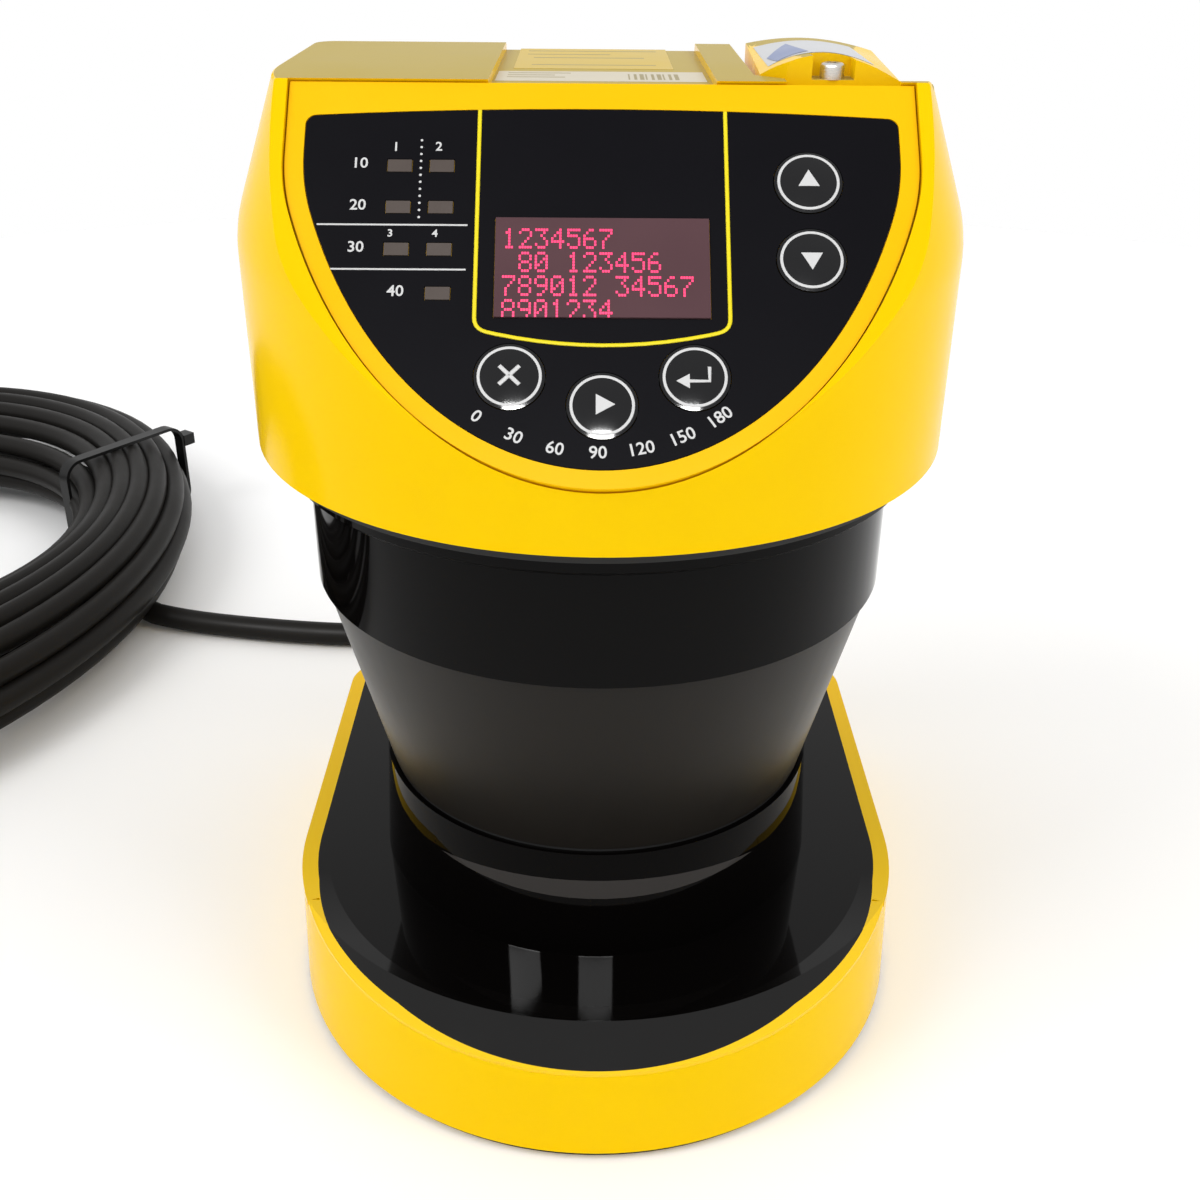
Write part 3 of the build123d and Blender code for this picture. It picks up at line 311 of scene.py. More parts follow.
def brushed_group():
    """Fine turned or brushed lines, as a height and a roughness."""
    if "brushed lines" in bpy.data.node_groups:
        return bpy.data.node_groups["brushed lines"]
    tree, given, result = new_group(
        "brushed lines", {"Scale": 900.0},
        {"Height": "NodeSocketFloat", "Roughness": "NodeSocketFloat"})
    place = node(tree, "ShaderNodeTexCoord")
    stretch = node(tree, "ShaderNodeMapping", {"Vector": place.outputs["Object"]})
    stretch.inputs["Scale"].default_value = (1.0, 1.0, 18.0)
    lines = node(tree, "ShaderNodeTexNoise", {
        "Vector": stretch.outputs["Vector"], "Scale": given.outputs["Scale"], "Detail": 4.0})
    rough = ranged(tree, lines.outputs["Fac"], 0.0, 1.0, 0.18, 0.42)
    tree.links.new(lines.outputs["Fac"], result.inputs["Height"])
    tree.links.new(rough, result.inputs["Roughness"])
    return tree


def flat_reach(tree, across, along):
    """Distance from a standing axis, with the two directions as given."""
    spread = node(tree, "ShaderNodeCombineXYZ", {"X": across, "Y": along})
    return node(tree, "ShaderNodeVectorMath", {0: spread.outputs["Vector"]},
                operation="LENGTH").outputs["Value"]


def base_group():
    """Zones of the base: front bevel, yellow rim, neck, and a lighter crescent on the neck, which is
    a painted reflection of the bevel.
    """
    if "base zones" in bpy.data.node_groups:
        return bpy.data.node_groups["base zones"]
    tree, given, result = new_group(
        "base zones", {"Flat": 0.08, "Deck": 0.12, "Bevel": 0.28, "Neck": 0.04},
        {"Shine": "NodeSocketFloat", "Rim": "NodeSocketFloat", "Painted crescent": "NodeSocketFloat"})
    place = node(tree, "ShaderNodeTexCoord")
    axes = node(tree, "ShaderNodeSeparateXYZ", {"Vector": place.outputs["Object"]})
    x, y, z = (axes.outputs[axis] for axis in "XYZ")
    low = math_chain(tree, z, ("LESS_THAN", DECK_TOP))
    base = math_chain(tree, z, ("LESS_THAN", NECK_TOP))

    edge = flat_reach(tree, x, math_chain(tree, y, ("ADD", BEVEL_CENTRE)))
    front = ranged(tree, y, *BEVEL_FADE, 1.0, 0.0)
    bevel = math_chain(
        tree, edge, ("GREATER_THAN", BEVEL_RADIUS), ("MULTIPLY", low), ("MULTIPLY", front))

    side = flat_reach(tree, x, math_chain(tree, y, ("ADD", RIM_CENTRE), ("MINIMUM", 0.0)))
    start = ranged(tree, y, *RIM_START, 0.0, RIM_WIDENING)
    limit = math_chain(tree, ranged(tree, y, *RIM_NOSE, *RIM_RADII), ("ADD", start))
    rim = math_chain(tree, side, ("GREATER_THAN", limit), ("MULTIPLY", low))

    column = math_chain(tree, flat_reach(tree, x, y), ("LESS_THAN", NECK_RADIUS))
    above = math_chain(tree, z, ("GREATER_THAN", DECK_TOP), ("MULTIPLY", base))
    neck = math_chain(tree, column, ("MULTIPLY", above))

    # Mask of a crescent of lighter grey painted round the front of the neck: a painted reflection
    turn = math_chain(tree, x, ("ARCTAN2", math_chain(tree, y, ("MULTIPLY", -1.0))))
    width = math_chain(
        tree, turn, ("DIVIDE", CRESCENT_REFLECTION_HALF_TURN), ("POWER", 2.0), ("SUBTRACT", 1.0),
        ("MULTIPLY", -CRESCENT_REFLECTION_HALF_WIDTH))
    off = math_chain(tree, z, ("SUBTRACT", CRESCENT_REFLECTION_HEIGHT), ("ABSOLUTE", 0.0))
    reflection_crescent = math_chain(tree, off, ("LESS_THAN", width), ("MULTIPLY", neck))

    shine = given.outputs["Flat"]
    for zone, key in ((base, "Deck"), (neck, "Neck"), (bevel, "Bevel")):
        shine = mixed(tree, zone, shine, given.outputs[key], "FLOAT")
    tree.links.new(shine, result.inputs["Shine"])
    tree.links.new(rim, result.inputs["Rim"])
    tree.links.new(reflection_crescent, result.inputs["Painted crescent"])
    return tree


def top_shade_group():
    """Mask of the level top, where a darker tan and weaker gloss are painted as shade."""
    if "painted top shade" in bpy.data.node_groups:
        return bpy.data.node_groups["painted top shade"]
    tree, given, result = new_group(
        "painted top shade", {"Amount": 1.0}, {"Mask": "NodeSocketFloat"})
    place = node(tree, "ShaderNodeTexCoord")
    axes = node(tree, "ShaderNodeSeparateXYZ", {"Vector": place.outputs["Object"]})
    facing = node(tree, "ShaderNodeNewGeometry")
    ways = node(tree, "ShaderNodeSeparateXYZ", {"Vector": facing.outputs["True Normal"]})
    level = math_chain(tree, ways.outputs["Z"], ("GREATER_THAN", TOP_NORMAL))
    # Mask of the painted shade on the level top
    film = math_chain(
        tree, axes.outputs["Z"], ("GREATER_THAN", TOP_HEIGHT), ("MULTIPLY", level),
        ("MULTIPLY", given.outputs["Amount"]))
    tree.links.new(film, result.inputs["Mask"])
    return tree


# Materials


def shader(name):
    """New material with its Principled BSDF."""
    material = bpy.data.materials.new(name)
    material.use_nodes = True
    return material, material.node_tree, material.node_tree.nodes["Principled BSDF"]


def tinted(tree, colour, factor, shift):
    """Colour that varies a little with a factor."""
    light = tuple(min(1.0, part * (1.0 + shift)) for part in colour) + (1.0,)
    dark = tuple(part * (1.0 - shift) for part in colour) + (1.0,)
    return mixed(tree, factor, dark, light)


def skin_material(name, colour, clean, worn, grain=1500.0, depth=0.05, shift=0.04, shine=0.3):
    """Painted or moulded surface with grain and handling marks."""
    material, tree, surface = shader(name)
    skin = node(tree, "ShaderNodeGroup", node_tree=grain_group())
    skin.inputs["Scale"].default_value = grain
    tone = tinted(tree, tuple(colour), skin.outputs["Tone"], shift)
    tree.links.new(tone, surface.inputs["Base Color"])
    surface.inputs["Specular IOR Level"].default_value = shine
    worn_in = node(tree, "ShaderNodeGroup", node_tree=handling_group())
    worn_in.inputs["Clean"].default_value = clean
    worn_in.inputs["Worn"].default_value = worn
    tree.links.new(worn_in.outputs["Roughness"], surface.inputs["Roughness"])
    bump = node(tree, "ShaderNodeBump", {
        "Height": skin.outputs["Height"], "Strength": depth, "Distance": 0.0002})
    tree.links.new(bump.outputs["Normal"], surface.inputs["Normal"])
    return material, surface


def metal_material(name, colour, scale=900.0):
    material, tree, surface = shader(name)
    lines = node(tree, "ShaderNodeGroup", node_tree=brushed_group())
    lines.inputs["Scale"].default_value = scale
    surface.inputs["Metallic"].default_value = 1.0
    tone = tinted(tree, tuple(colour), lines.outputs["Height"], 0.08)
    tree.links.new(tone, surface.inputs["Base Color"])
    tree.links.new(lines.outputs["Roughness"], surface.inputs["Roughness"])
    bump = node(tree, "ShaderNodeBump", {
        "Height": lines.outputs["Height"], "Strength": 0.15, "Distance": 0.0001})
    tree.links.new(bump.outputs["Normal"], surface.inputs["Normal"])
    return material


def lit_material(name, colour, strength):
    """Display dots that give their own light."""
    material, tree, surface = shader(name)
    skin = node(tree, "ShaderNodeGroup", node_tree=grain_group())
    tone = tinted(tree, tuple(colour), skin.outputs["Tone"], 0.06)
    tree.links.new(tone, surface.inputs["Base Color"])
    tree.links.new(tone, surface.inputs["Emission Color"])
    surface.inputs["Emission Strength"].default_value = strength
    surface.inputs["Roughness"].default_value = 0.4
    return material


def glass_material(name, tint):
    material, tree, surface = shader(name)
    skin = node(tree, "ShaderNodeGroup", node_tree=grain_group())
    tone = tinted(tree, tuple(tint), skin.outputs["Tone"], 0.02)
    tree.links.new(tone, surface.inputs["Base Color"])
    surface.inputs["Transmission Weight"].default_value = 1.0
    surface.inputs["Roughness"].default_value = 0.03
    surface.inputs["IOR"].default_value = 1.46
    return material


# Grey of the crescent painted on the neck as a reflection of the bevel
CRESCENT_REFLECTION_GREY = (0.036, 0.033, 0.031)
# Darker tan painted on the level top, and the share of its gloss taken away there: painted shade
TOP_SHADE_TAN = (0.45, 0.34, 0.075)
TOP_SHADE_FADE = 0.95


def make_finishes():
    """All materials of the object, by the record's slot or by the piece they are for."""
    colours = bpy.context.scene.scanner_finish
    made = {}

    def skin(key, *args, **options):
        made[key], surface = skin_material(key.replace("_", " "), *args, **options)
        return surface

    painted = {
        "yellow_paint": skin("yellow_paint", colours.paint_yellow, 0.14, 0.24, grain=900.0,
                             depth=0.03, shift=0.015, shine=0.04),
        "yellow_plastic": skin("yellow_plastic", colours.paint_yellow, 0.25, 0.38,
                               shift=0.03, shine=0.1),
    }
    skin("bezel_yellow", colours.bezel_yellow, 0.30, 0.42, depth=0.03, shift=0.015, shine=0.05)
    gloss = skin("gloss_black", colours.gloss_black, 0.03, 0.06, depth=0.004)
    tree = made["gloss_black"].node_tree
    zones = node(tree, "ShaderNodeGroup", node_tree=base_group())
    zones.inputs["Flat"].default_value = colours.gloss
    zones.inputs["Bevel"].default_value = colours.bevel_gloss
    tree.links.new(zones.outputs["Shine"], gloss.inputs["Specular IOR Level"])
    tone = gloss.inputs["Base Color"].links[0].from_socket
    # Paints the reflection crescent onto the neck in grey, then the casting's yellow onto the rim
    tone = overlaid(tree, tone, zones.outputs["Painted crescent"], CRESCENT_REFLECTION_GREY)
    tone = overlaid(tree, tone, zones.outputs["Rim"], tuple(colours.paint_yellow))
    tree.links.new(tone, gloss.inputs["Base Color"])
    for key, surface in painted.items():
        tree = made[key].node_tree
        # Painted shade on the level top: a darker tan colour and weaker gloss, laid on by the mask
        film = node(tree, "ShaderNodeGroup", node_tree=top_shade_group())
        tone = surface.inputs["Base Color"].links[0].from_socket
        top_shaded = overlaid(tree, tone, film.outputs["Mask"], TOP_SHADE_TAN)
        tree.links.new(top_shaded, surface.inputs["Base Color"])
        shine = surface.inputs["Specular IOR Level"].default_value
        top_shade_shine = math_chain(
            tree, film.outputs["Mask"], ("MULTIPLY", -TOP_SHADE_FADE * shine), ("ADD", shine))
        tree.links.new(top_shade_shine, surface.inputs["Specular IOR Level"])
    skin("window_dark", colours.window_grey, 0.28, 0.34, depth=0.0, shine=0.13)
    skin("film_black", colours.film_black, 0.40, 0.5, grain=2600.0, depth=0.06, shine=0.02)
    skin("display_body", (0.02, 0.02, 0.02), 0.3, 0.5)
    skin("lens_grey", (0.075, 0.058, 0.050), 0.25, 0.4, shine=0.2)
    skin("led_white", (0.7, 0.7, 0.65), 0.2, 0.3)
    skin("key_black", (0.0045, 0.0045, 0.0055), 0.08, 0.13, depth=0.02, shine=0.25)
    skin("switch_black", (0.03, 0.03, 0.03), 0.4, 0.5)
    skin("board_green", (0.01, 0.12, 0.05), 0.35, 0.5)
    skin("chips", (0.03, 0.03, 0.035), 0.4, 0.55)
    skin("black_rubber", (0.01, 0.01, 0.01), 0.45, 0.6, depth=0.1)
    skin("plate_black", (0.012, 0.012, 0.012), 0.4, 0.55, grain=1200.0, depth=0.15)
    skin("gland_black", (0.010, 0.010, 0.010), 0.35, 0.5, depth=0.12, shine=0.2)
    skin("cable_black", colours.cable_black, 0.40, 0.52, grain=1800.0, depth=0.12, shine=0.09)
    skin("tie_black", (0.006, 0.006, 0.006), 0.3, 0.45, shine=0.2)
    skin("mark_white", colours.mark_white, 0.4, 0.5, shine=0.1)
    skin("mark_yellow", colours.mark_yellow, 0.4, 0.5, shine=0.1)
    skin("label_silver", (0.50, 0.51, 0.53), 0.3, 0.4)
    skin("label_blue", (0.13, 0.18, 0.36), 0.3, 0.4)
    skin("label_white", (0.60, 0.55, 0.44), 0.35, 0.45, shine=0.02)
    skin("label_clear", (0.60, 0.44, 0.10), 0.30, 0.40, shine=0.02)
    skin("label_print", (0.34, 0.29, 0.17), 0.4, 0.5, shine=0.02)
    made["screw_steel"] = metal_material("screw steel", (0.55, 0.53, 0.5))
    made["bearing_steel"] = metal_material("bearing steel", (0.6, 0.6, 0.6))
    made["brass_post"] = metal_material("brass post", (0.75, 0.55, 0.25))
    made["cast_aluminium"] = metal_material("cast aluminium", (0.6, 0.61, 0.62), scale=300.0)
    made["mirror_face"] = metal_material("mirror face", (0.9, 0.9, 0.9), scale=60.0)
    made["lens_glass"] = glass_material("lens glass", (0.95, 0.98, 1.0))
    made["display_dots"] = lit_material("display dots", colours.display_pink, 0.55)
    skin("display_glass", colours.display_grey, 0.12, 0.2, depth=0.01, shift=0.10, shine=0.03)
    return made


class SCANNER_OT_finishes(bpy.types.Operator):
    """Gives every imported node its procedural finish."""

    bl_idname = "scanner.finishes"
    bl_label = "Finishes"

    def execute(self, context):
        made = make_finishes()
        for name, part in frame["nodes"].items():
            part.data.materials.clear()
            part.data.materials.append(made[FINISHES[name]])
            take(part)
            bpy.ops.object.shade_smooth_by_angle(angle=math.radians(30))
        clear_selection()
        return {"FINISHED"}


def finish(key):
    """Material made by the finishes operator."""
    return bpy.data.materials[key.replace("_", " ")]


# Printed marks, keys and display


SYMBOLS = {
    "0": (14, 17, 19, 21, 25, 17, 14), "1": (4, 12, 4, 4, 4, 4, 14),
    "2": (14, 17, 1, 2, 4, 8, 31), "3": (31, 2, 4, 2, 1, 17, 14),
    "4": (2, 6, 10, 18, 31, 2, 2), "5": (31, 16, 30, 1, 1, 17, 14),
    "6": (6, 8, 16, 30, 17, 17, 14), "7": (31, 1, 2, 4, 8, 8, 8),
    "8": (14, 17, 17, 14, 17, 17, 14), "9": (14, 17, 17, 15, 1, 2, 12),
}
READOUT = ("1234567", " 80 123456", "789012 34567", "8901234")
DOT_PITCH = (0.4635, 0.5656)
DOT_COLUMNS = 71
DOT_ROWS = 30
READOUT_AT = (-17.24, 29.51)
GLASS_FACE = -0.5
KEY_FACE = -0.05
KEY_SPOTS = {
    "up": (36.1, 20.0), "down": (36.1, 35.2), "enter": (15.6, 57.4),
    "right": (0.0, 62.6), "escape": (-15.6, 57.4),
}
RING_RADIUS = 5.2
RING_DROP = 0.485
RING_FLATNESS = 0.3
ARROW_RADIUS = 2.15
ARROW_DROP = 0.06
ARC_RADIUS = 35.4
ARC_CENTRE = (-0.7, 35.6)
ARC_START = math.radians(-35.0)
ARC_STEP = math.radians(35.0 / 3)
LINE_FLATNESS = 0.12
CORNER_RADIUS = 2.2


def put(piece, name, matrix, key, body=UNIT):
    """Names a piece modelled in millimetres, places it and gives it its finish."""
    piece.name = name
    piece.matrix_world = matrix
    return settle(piece, body, finish(key))


def drawn_line(name, points, width, matrix, key, closed=False, body=UNIT):
    """Flat printed line through points."""
    curve = bpy.data.curves.new(name, "CURVE")
    curve.dimensions = "3D"
    curve.bevel_depth = width / 2
    curve.bevel_resolution = 1
    curve.use_fill_caps = True
    spline = curve.splines.new("POLY")
    spline.points.add(len(points) - 1)
    for control, (x, y) in zip(spline.points, points):
        control.co = (x, y, 0.0, 1.0)
    spline.use_cyclic_u = closed
    line = bpy.data.objects.new(name, curve)
    bpy.context.collection.objects.link(line)
    take(line)
    bpy.ops.object.convert(target="MESH")
    flat = Matrix.Scale(LINE_FLATNESS, 4, (0, 0, 1))
    return put(bpy.context.object, name, matrix @ flat, key, body)


def lettering(name, text, size, matrix):
    """Thin raised characters, centred on their place."""
    bpy.ops.object.text_add()
    letters = bpy.context.object.data
    letters.body = text
    letters.size = size
    letters.align_x = "CENTER"
    letters.align_y = "CENTER"
    letters.extrude = 0.02
    letters.offset = 0.04
    letters.resolution_u = 3
    bpy.ops.object.convert(target="MESH")
    return put(bpy.context.object, name, matrix, "mark_white")


def rounded_corner(corner, before, after, radius, steps=5):
    """Points of a rounded corner between two directions."""
    corner, before, after = Vector(corner), Vector(before), Vector(after)
    first = corner + (before - corner).normalized() * radius
    last = corner + (after - corner).normalized() * radius
    points = []
    for index in range(steps + 1):
        share = index / steps
        points.append(first.lerp(corner, share).lerp(corner.lerp(last, share), share))
    return [(point.x, point.y) for point in points]


def frame_points():
    """Yellow frame: down the left, round the lower arc and up the right."""
    side, top, low, sink = 21.8, -5.7, -48.6, -51.5
    radius = (side**2 + (low - sink) ** 2) / (2 * (low - sink))
    middle = sink + radius
    arc = []
    for index in range(1, 12):
        x = -side + 2 * side * index / 12
        arc.append((x, middle - math.sqrt(radius**2 - x**2)))
    left = rounded_corner((-side, low), (-side, top), arc[0], CORNER_RADIUS)
    right = rounded_corner((side, low), arc[-1], (side, top), CORNER_RADIUS)
    return [(-side, top), *left, *arc, *right, (side, top)]


class SCANNER_OT_film_marks(bpy.types.Operator):
    """Draws the frame line, the dividers and the numbers on the panel film."""

    bl_idname = "scanner.film_marks"
    bl_label = "Film marks"

    def execute(self, context):
        print_in = context.scene.scanner_print
        flat = panel_place(0, 0)
        drawn_line("frame_line", frame_points(), print_in.frame_line, flat, "mark_yellow")
        for name, left, right, down in (("divider_upper", -49.5, -23.4, 28.8),
                                        ("divider_lower", -46.7, -23.5, 37.4)):
            ends = [(left, -down), (right, -down)]
            drawn_line(name, ends, print_in.thin_line, flat, "mark_white")
        self.dotted_line()
        for name, text, u, v, size in (
                ("column_1", "1", -36.4, 13.4, 2.5), ("column_2", "2", -28.85, 13.3, 2.5),
                ("column_3", "3", -36.75, 30.5, 2.0), ("column_4", "4", -29.0, 30.5, 2.0),
                ("row_1", "10", -42.6, 16.7, 2.9), ("row_2", "20", -42.6, 25.0, 2.9),
                ("row_3", "30", -42.6, 33.2, 2.9), ("row_4", "40", -35.4, 41.6, 2.9)):
            lettering(name, text, size, panel_place(u, v))
        self.arc_numbers()
        return {"FINISHED"}

    def dotted_line(self):
        bpy.ops.mesh.primitive_cylinder_add(vertices=8, radius=0.24, depth=0.04)
        dots = bpy.context.object
        column = dots.modifiers.new("column", "ARRAY")
        column.count = 12
        column.use_relative_offset = False
        column.use_constant_offset = True
        column.constant_offset_displace = (0.0, -1.39, 0.0)
        bpy.ops.object.modifier_apply(modifier=column.name)
        put(dots, "dotted_line", panel_place(-31.9, 12.0), "mark_white")

    def arc_numbers(self):
        for index, text in enumerate(("0", "30", "60", "90", "120", "150", "180")):
            angle = ARC_START + index * ARC_STEP
            u = ARC_CENTRE[0] + ARC_RADIUS * math.sin(angle)
            v = ARC_CENTRE[1] + ARC_RADIUS * math.cos(angle)
            lettering("arc_" + text, text, 3.1, panel_place(u, v, turn=angle))


class SCANNER_OT_key_marks(bpy.types.Operator):
    """Puts the white ring and the symbol on each key."""

    bl_idname = "scanner.key_marks"
    bl_label = "Key marks"

    def execute(self, context):
        width = context.scene.scanner_print.ring_line
        for name, (u, v) in KEY_SPOTS.items():
            bpy.ops.mesh.primitive_torus_add(
                major_radius=RING_RADIUS, minor_radius=width / 2,
                major_segments=64, minor_segments=8)
            ring = panel_place(u, v, KEY_FACE - RING_DROP) @ Matrix.Scale(RING_FLATNESS, 4, (0, 0, 1))
            put(bpy.context.object, "ring_" + name, ring, "mark_white", "key_" + name)
        for name, turn in (("up", 0.0), ("down", math.pi), ("right", -math.pi / 2)):
            bpy.ops.mesh.primitive_cylinder_add(vertices=3, radius=ARROW_RADIUS, depth=0.18)
            u, v = KEY_SPOTS[name]
            arrow = panel_place(u, v, KEY_FACE - ARROW_DROP, turn)
            put(bpy.context.object, "arrow_" + name, arrow, "mark_white", "key_" + name)
        self.enter_sign()
        self.escape_sign()
        return {"FINISHED"}

    def enter_sign(self):
        face = panel_place(*KEY_SPOTS["enter"], KEY_FACE)
        path = [(2.4, 1.7), (2.4, -0.9), (-1.4, -0.9)]
        drawn_line("enter_shaft", path, 0.65, face, "mark_white", body="key_enter")
        bpy.ops.mesh.primitive_cylinder_add(vertices=3, radius=1.5, depth=0.16)
        head = face @ Matrix.Translation((-1.7, -0.9, -0.03)) @ Matrix.Rotation(math.pi / 2, 4, "Z")
        put(bpy.context.object, "enter_head", head, "mark_white", "key_enter")

    def escape_sign(self):
        face = panel_place(*KEY_SPOTS["escape"], KEY_FACE)
        for name, x in (("escape_rise", 1.0), ("escape_fall", -1.0)):
            path = [(-1.7 * x, -1.7), (1.7 * x, 1.7)]
            drawn_line(name, path, 0.75, face, "mark_white", body="key_escape")


def lit_cells():
    """Columns and rows of the display's lit dots."""
    cells = set()
    for line, text in enumerate(READOUT):
        for place, symbol in enumerate(text):
            for row, bits in enumerate(SYMBOLS.get(symbol, ())):
                for column in range(5):
                    if bits >> (4 - column) & 1:
                        cells.add((place * 6 + column, line * 8 + row))
    return cells


class SCANNER_OT_readout(bpy.types.Operator):
    """Cuts the display's lit dots out of a grid."""

    bl_idname = "scanner.readout"
    bl_label = "Readout"

    def execute(self, context):
        width, height = DOT_PITCH[0] * DOT_COLUMNS, DOT_PITCH[1] * DOT_ROWS
        bpy.ops.mesh.primitive_grid_add(x_subdivisions=DOT_COLUMNS, y_subdivisions=DOT_ROWS, size=1)
        dots = bpy.context.object
        dots.scale = (width, height, 1.0)
        bpy.ops.object.transform_apply(scale=True)
        lit = lit_cells()
        bpy.ops.object.mode_set(mode="EDIT")
        bpy.ops.mesh.select_mode(type="FACE")
        bpy.ops.object.mode_set(mode="OBJECT")
        for face in dots.data.polygons:
            column = int((face.center.x + width / 2) / DOT_PITCH[0])
            row = int((height / 2 - face.center.y) / DOT_PITCH[1])
            face.select = (column, row) not in lit
        bpy.ops.object.mode_set(mode="EDIT")
        bpy.ops.mesh.delete(type="FACE")
        bpy.ops.mesh.select_all(action="SELECT")
        bpy.ops.mesh.inset(thickness=context.scene.scanner_print.dot_gap, use_individual=True)
        bpy.ops.mesh.select_all(action="INVERT")
        bpy.ops.mesh.delete(type="FACE")
        bpy.ops.object.mode_set(mode="OBJECT")
        u = READOUT_AT[0] + width / 2
        v = READOUT_AT[1] + height / 2
        put(dots, "readout_dots", panel_place(u, v, GLASS_FACE + 0.02), "display_dots")
        return {"FINISHED"}


# The edge strip's section and its path round the base, in millimetres
EDGE_RADIUS = 68.65
EDGE_LEVEL = 29.27
EDGE_SECTION = (3.1, 1.44)
EDGE_START = math.radians(20.4)
NOSE_CENTRE = (0, -8, 0)
SIDE_LENGTH = 73
REAR_CORNER = (57, 65, 0)
REAR_LENGTH = 14.6


class SCANNER_OT_deck_edge(bpy.types.Operator):
    """Runs the deck's black edge over the casting's rim."""

    bl_idname = "scanner.deck_edge"
    bl_label = "Deck edge"

    def execute(self, context):
        bpy.ops.mesh.primitive_plane_add(size=1)
        edge = bpy.context.object
        edge.matrix_world = (
            Matrix.Translation(NOSE_CENTRE) @ Matrix.Rotation(-EDGE_START, 4, "Z")
            @ Matrix.Translation((EDGE_RADIUS, 0, EDGE_LEVEL))
            @ Matrix.Rotation(math.pi / 2, 4, "X")
            @ Matrix.Diagonal((*EDGE_SECTION, 1.0, 1.0)))
        bpy.ops.object.transform_apply(location=True, rotation=True, scale=True)
        bpy.ops.object.mode_set(mode="EDIT")
        bpy.ops.mesh.select_all(action="SELECT")
        bpy.ops.mesh.spin(steps=8, angle=-EDGE_START, center=NOSE_CENTRE, axis=(0, 0, 1))
        bpy.ops.mesh.extrude_region_move(TRANSFORM_OT_translate={"value": (0, SIDE_LENGTH, 0)})
        bpy.ops.mesh.spin(steps=10, angle=-math.pi / 2, center=REAR_CORNER, axis=(0, 0, 1))
        bpy.ops.mesh.extrude_region_move(TRANSFORM_OT_translate={"value": (-REAR_LENGTH, 0, 0)})
        bpy.ops.mesh.select_all(action="SELECT")
        bpy.ops.mesh.normals_make_consistent(inside=False)
        bpy.ops.object.mode_set(mode="OBJECT")
        both = edge.modifiers.new("both", "MIRROR")
        bpy.ops.object.modifier_apply(modifier=both.name)
        bpy.ops.object.shade_smooth_by_angle(angle=math.radians(30))
        put(edge, "deck_edge", Matrix.Scale(MM, 4), "gloss_black")
        return {"FINISHED"}


# Labels on the top


CHANNEL_FLOOR = 203.4
LABEL_THICKNESS = 0.06
PRINT_THICKNESS = 0.01
HOOD_LABEL = ((30.8, -7.5), (50.5, -7.5), (52.0, 30.0), (31.9, 30.0))
HOOD_PATCH = ((32.4, -7.0), (38.6, -3.5), (37.6, 22.0), (31.8, 4.0))
DRAPE_FROM = 0.215


def top_sheet(name, x, y, height, key, thickness=LABEL_THICKNESS):
    """Thin flat label on a level face, from (low, high) pairs in millimetres."""
    bpy.ops.mesh.primitive_cube_add(size=1)
    sheet = bpy.context.object
    size = Matrix.Diagonal((x[1] - x[0], y[1] - y[0], thickness, 1.0))
    middle = Vector(((x[0] + x[1]) / 2, (y[0] + y[1]) / 2, height + thickness / 2))
    return put(sheet, name, Matrix.Scale(MM, 4) @ Matrix.Translation(middle) @ size, key)


def draped_sheet(name, corners, key, lift):
    """Label laid over the connector block, from four corners in millimetres."""
    bpy.ops.mesh.primitive_grid_add(x_subdivisions=16, y_subdivisions=16, size=2)
    sheet = bpy.context.object
    for point in sheet.data.vertices:
        across, along = (point.co.x + 1) / 2, (point.co.y + 1) / 2
        near = Vector(corners[0]).lerp(Vector(corners[1]), across)
        far = Vector(corners[3]).lerp(Vector(corners[2]), across)
        spot = near.lerp(far, along)
        point.co = (spot.x * MM, spot.y * MM, DRAPE_FROM)
    drape = sheet.modifiers.new("drape", "SHRINKWRAP")
    drape.target = frame["nodes"]["connector_hood"]
    drape.wrap_method = "PROJECT"
    drape.use_project_z = True
    drape.use_negative_direction = True
    drape.use_positive_direction = False
    drape.offset = lift * MM
    bpy.ops.object.modifier_apply(modifier=drape.name)
    bpy.ops.object.shade_smooth_by_angle(angle=math.radians(30))
    return put(sheet, name, Matrix.Identity(4), key)


class SCANNER_OT_labels(bpy.types.Operator):
    """Lays the bare labels in the top's channel and over the connector block."""

    bl_idname = "scanner.labels"
    bl_label = "Labels"

    def execute(self, context):
        printed = CHANNEL_FLOOR + LABEL_THICKNESS
        top_sheet("channel_label", (-17.4, 14.2), (10.5, 44.8), CHANNEL_FLOOR, "label_clear")
        top_sheet("channel_strip", (-20.0, 19.6), (-8.0, 6.0), CHANNEL_FLOOR, "label_white")
        for index in range(9):
            left = 5.0 + index * 1.1
            right = left + 0.3 + 0.25 * (index % 3)
            top_sheet(f"strip_bar_{index}", (left, right), (-5.5, 2.5), printed,
                      "label_print", PRINT_THICKNESS)
        for index, (left, right, y) in enumerate((
                (-18.0, -6.0, 3.0), (-18.0, -9.0, 0.0), (-18.0, -7.0, -3.0),
                (-15.5, 12.0, 40.0), (-15.5, 2.0, 34.0), (-14.0, 9.0, 28.0), (-14.0, 11.0, 16.0))):
            top_sheet(f"label_rule_{index}", (left, right), (y, y + 0.9), printed,
                      "label_print", PRINT_THICKNESS)
        draped_sheet("hood_label", HOOD_LABEL, "label_silver", LABEL_THICKNESS)
        draped_sheet("hood_patch", HOOD_PATCH, "label_blue", 2 * LABEL_THICKNESS)
        return {"FINISHED"}


# Cable


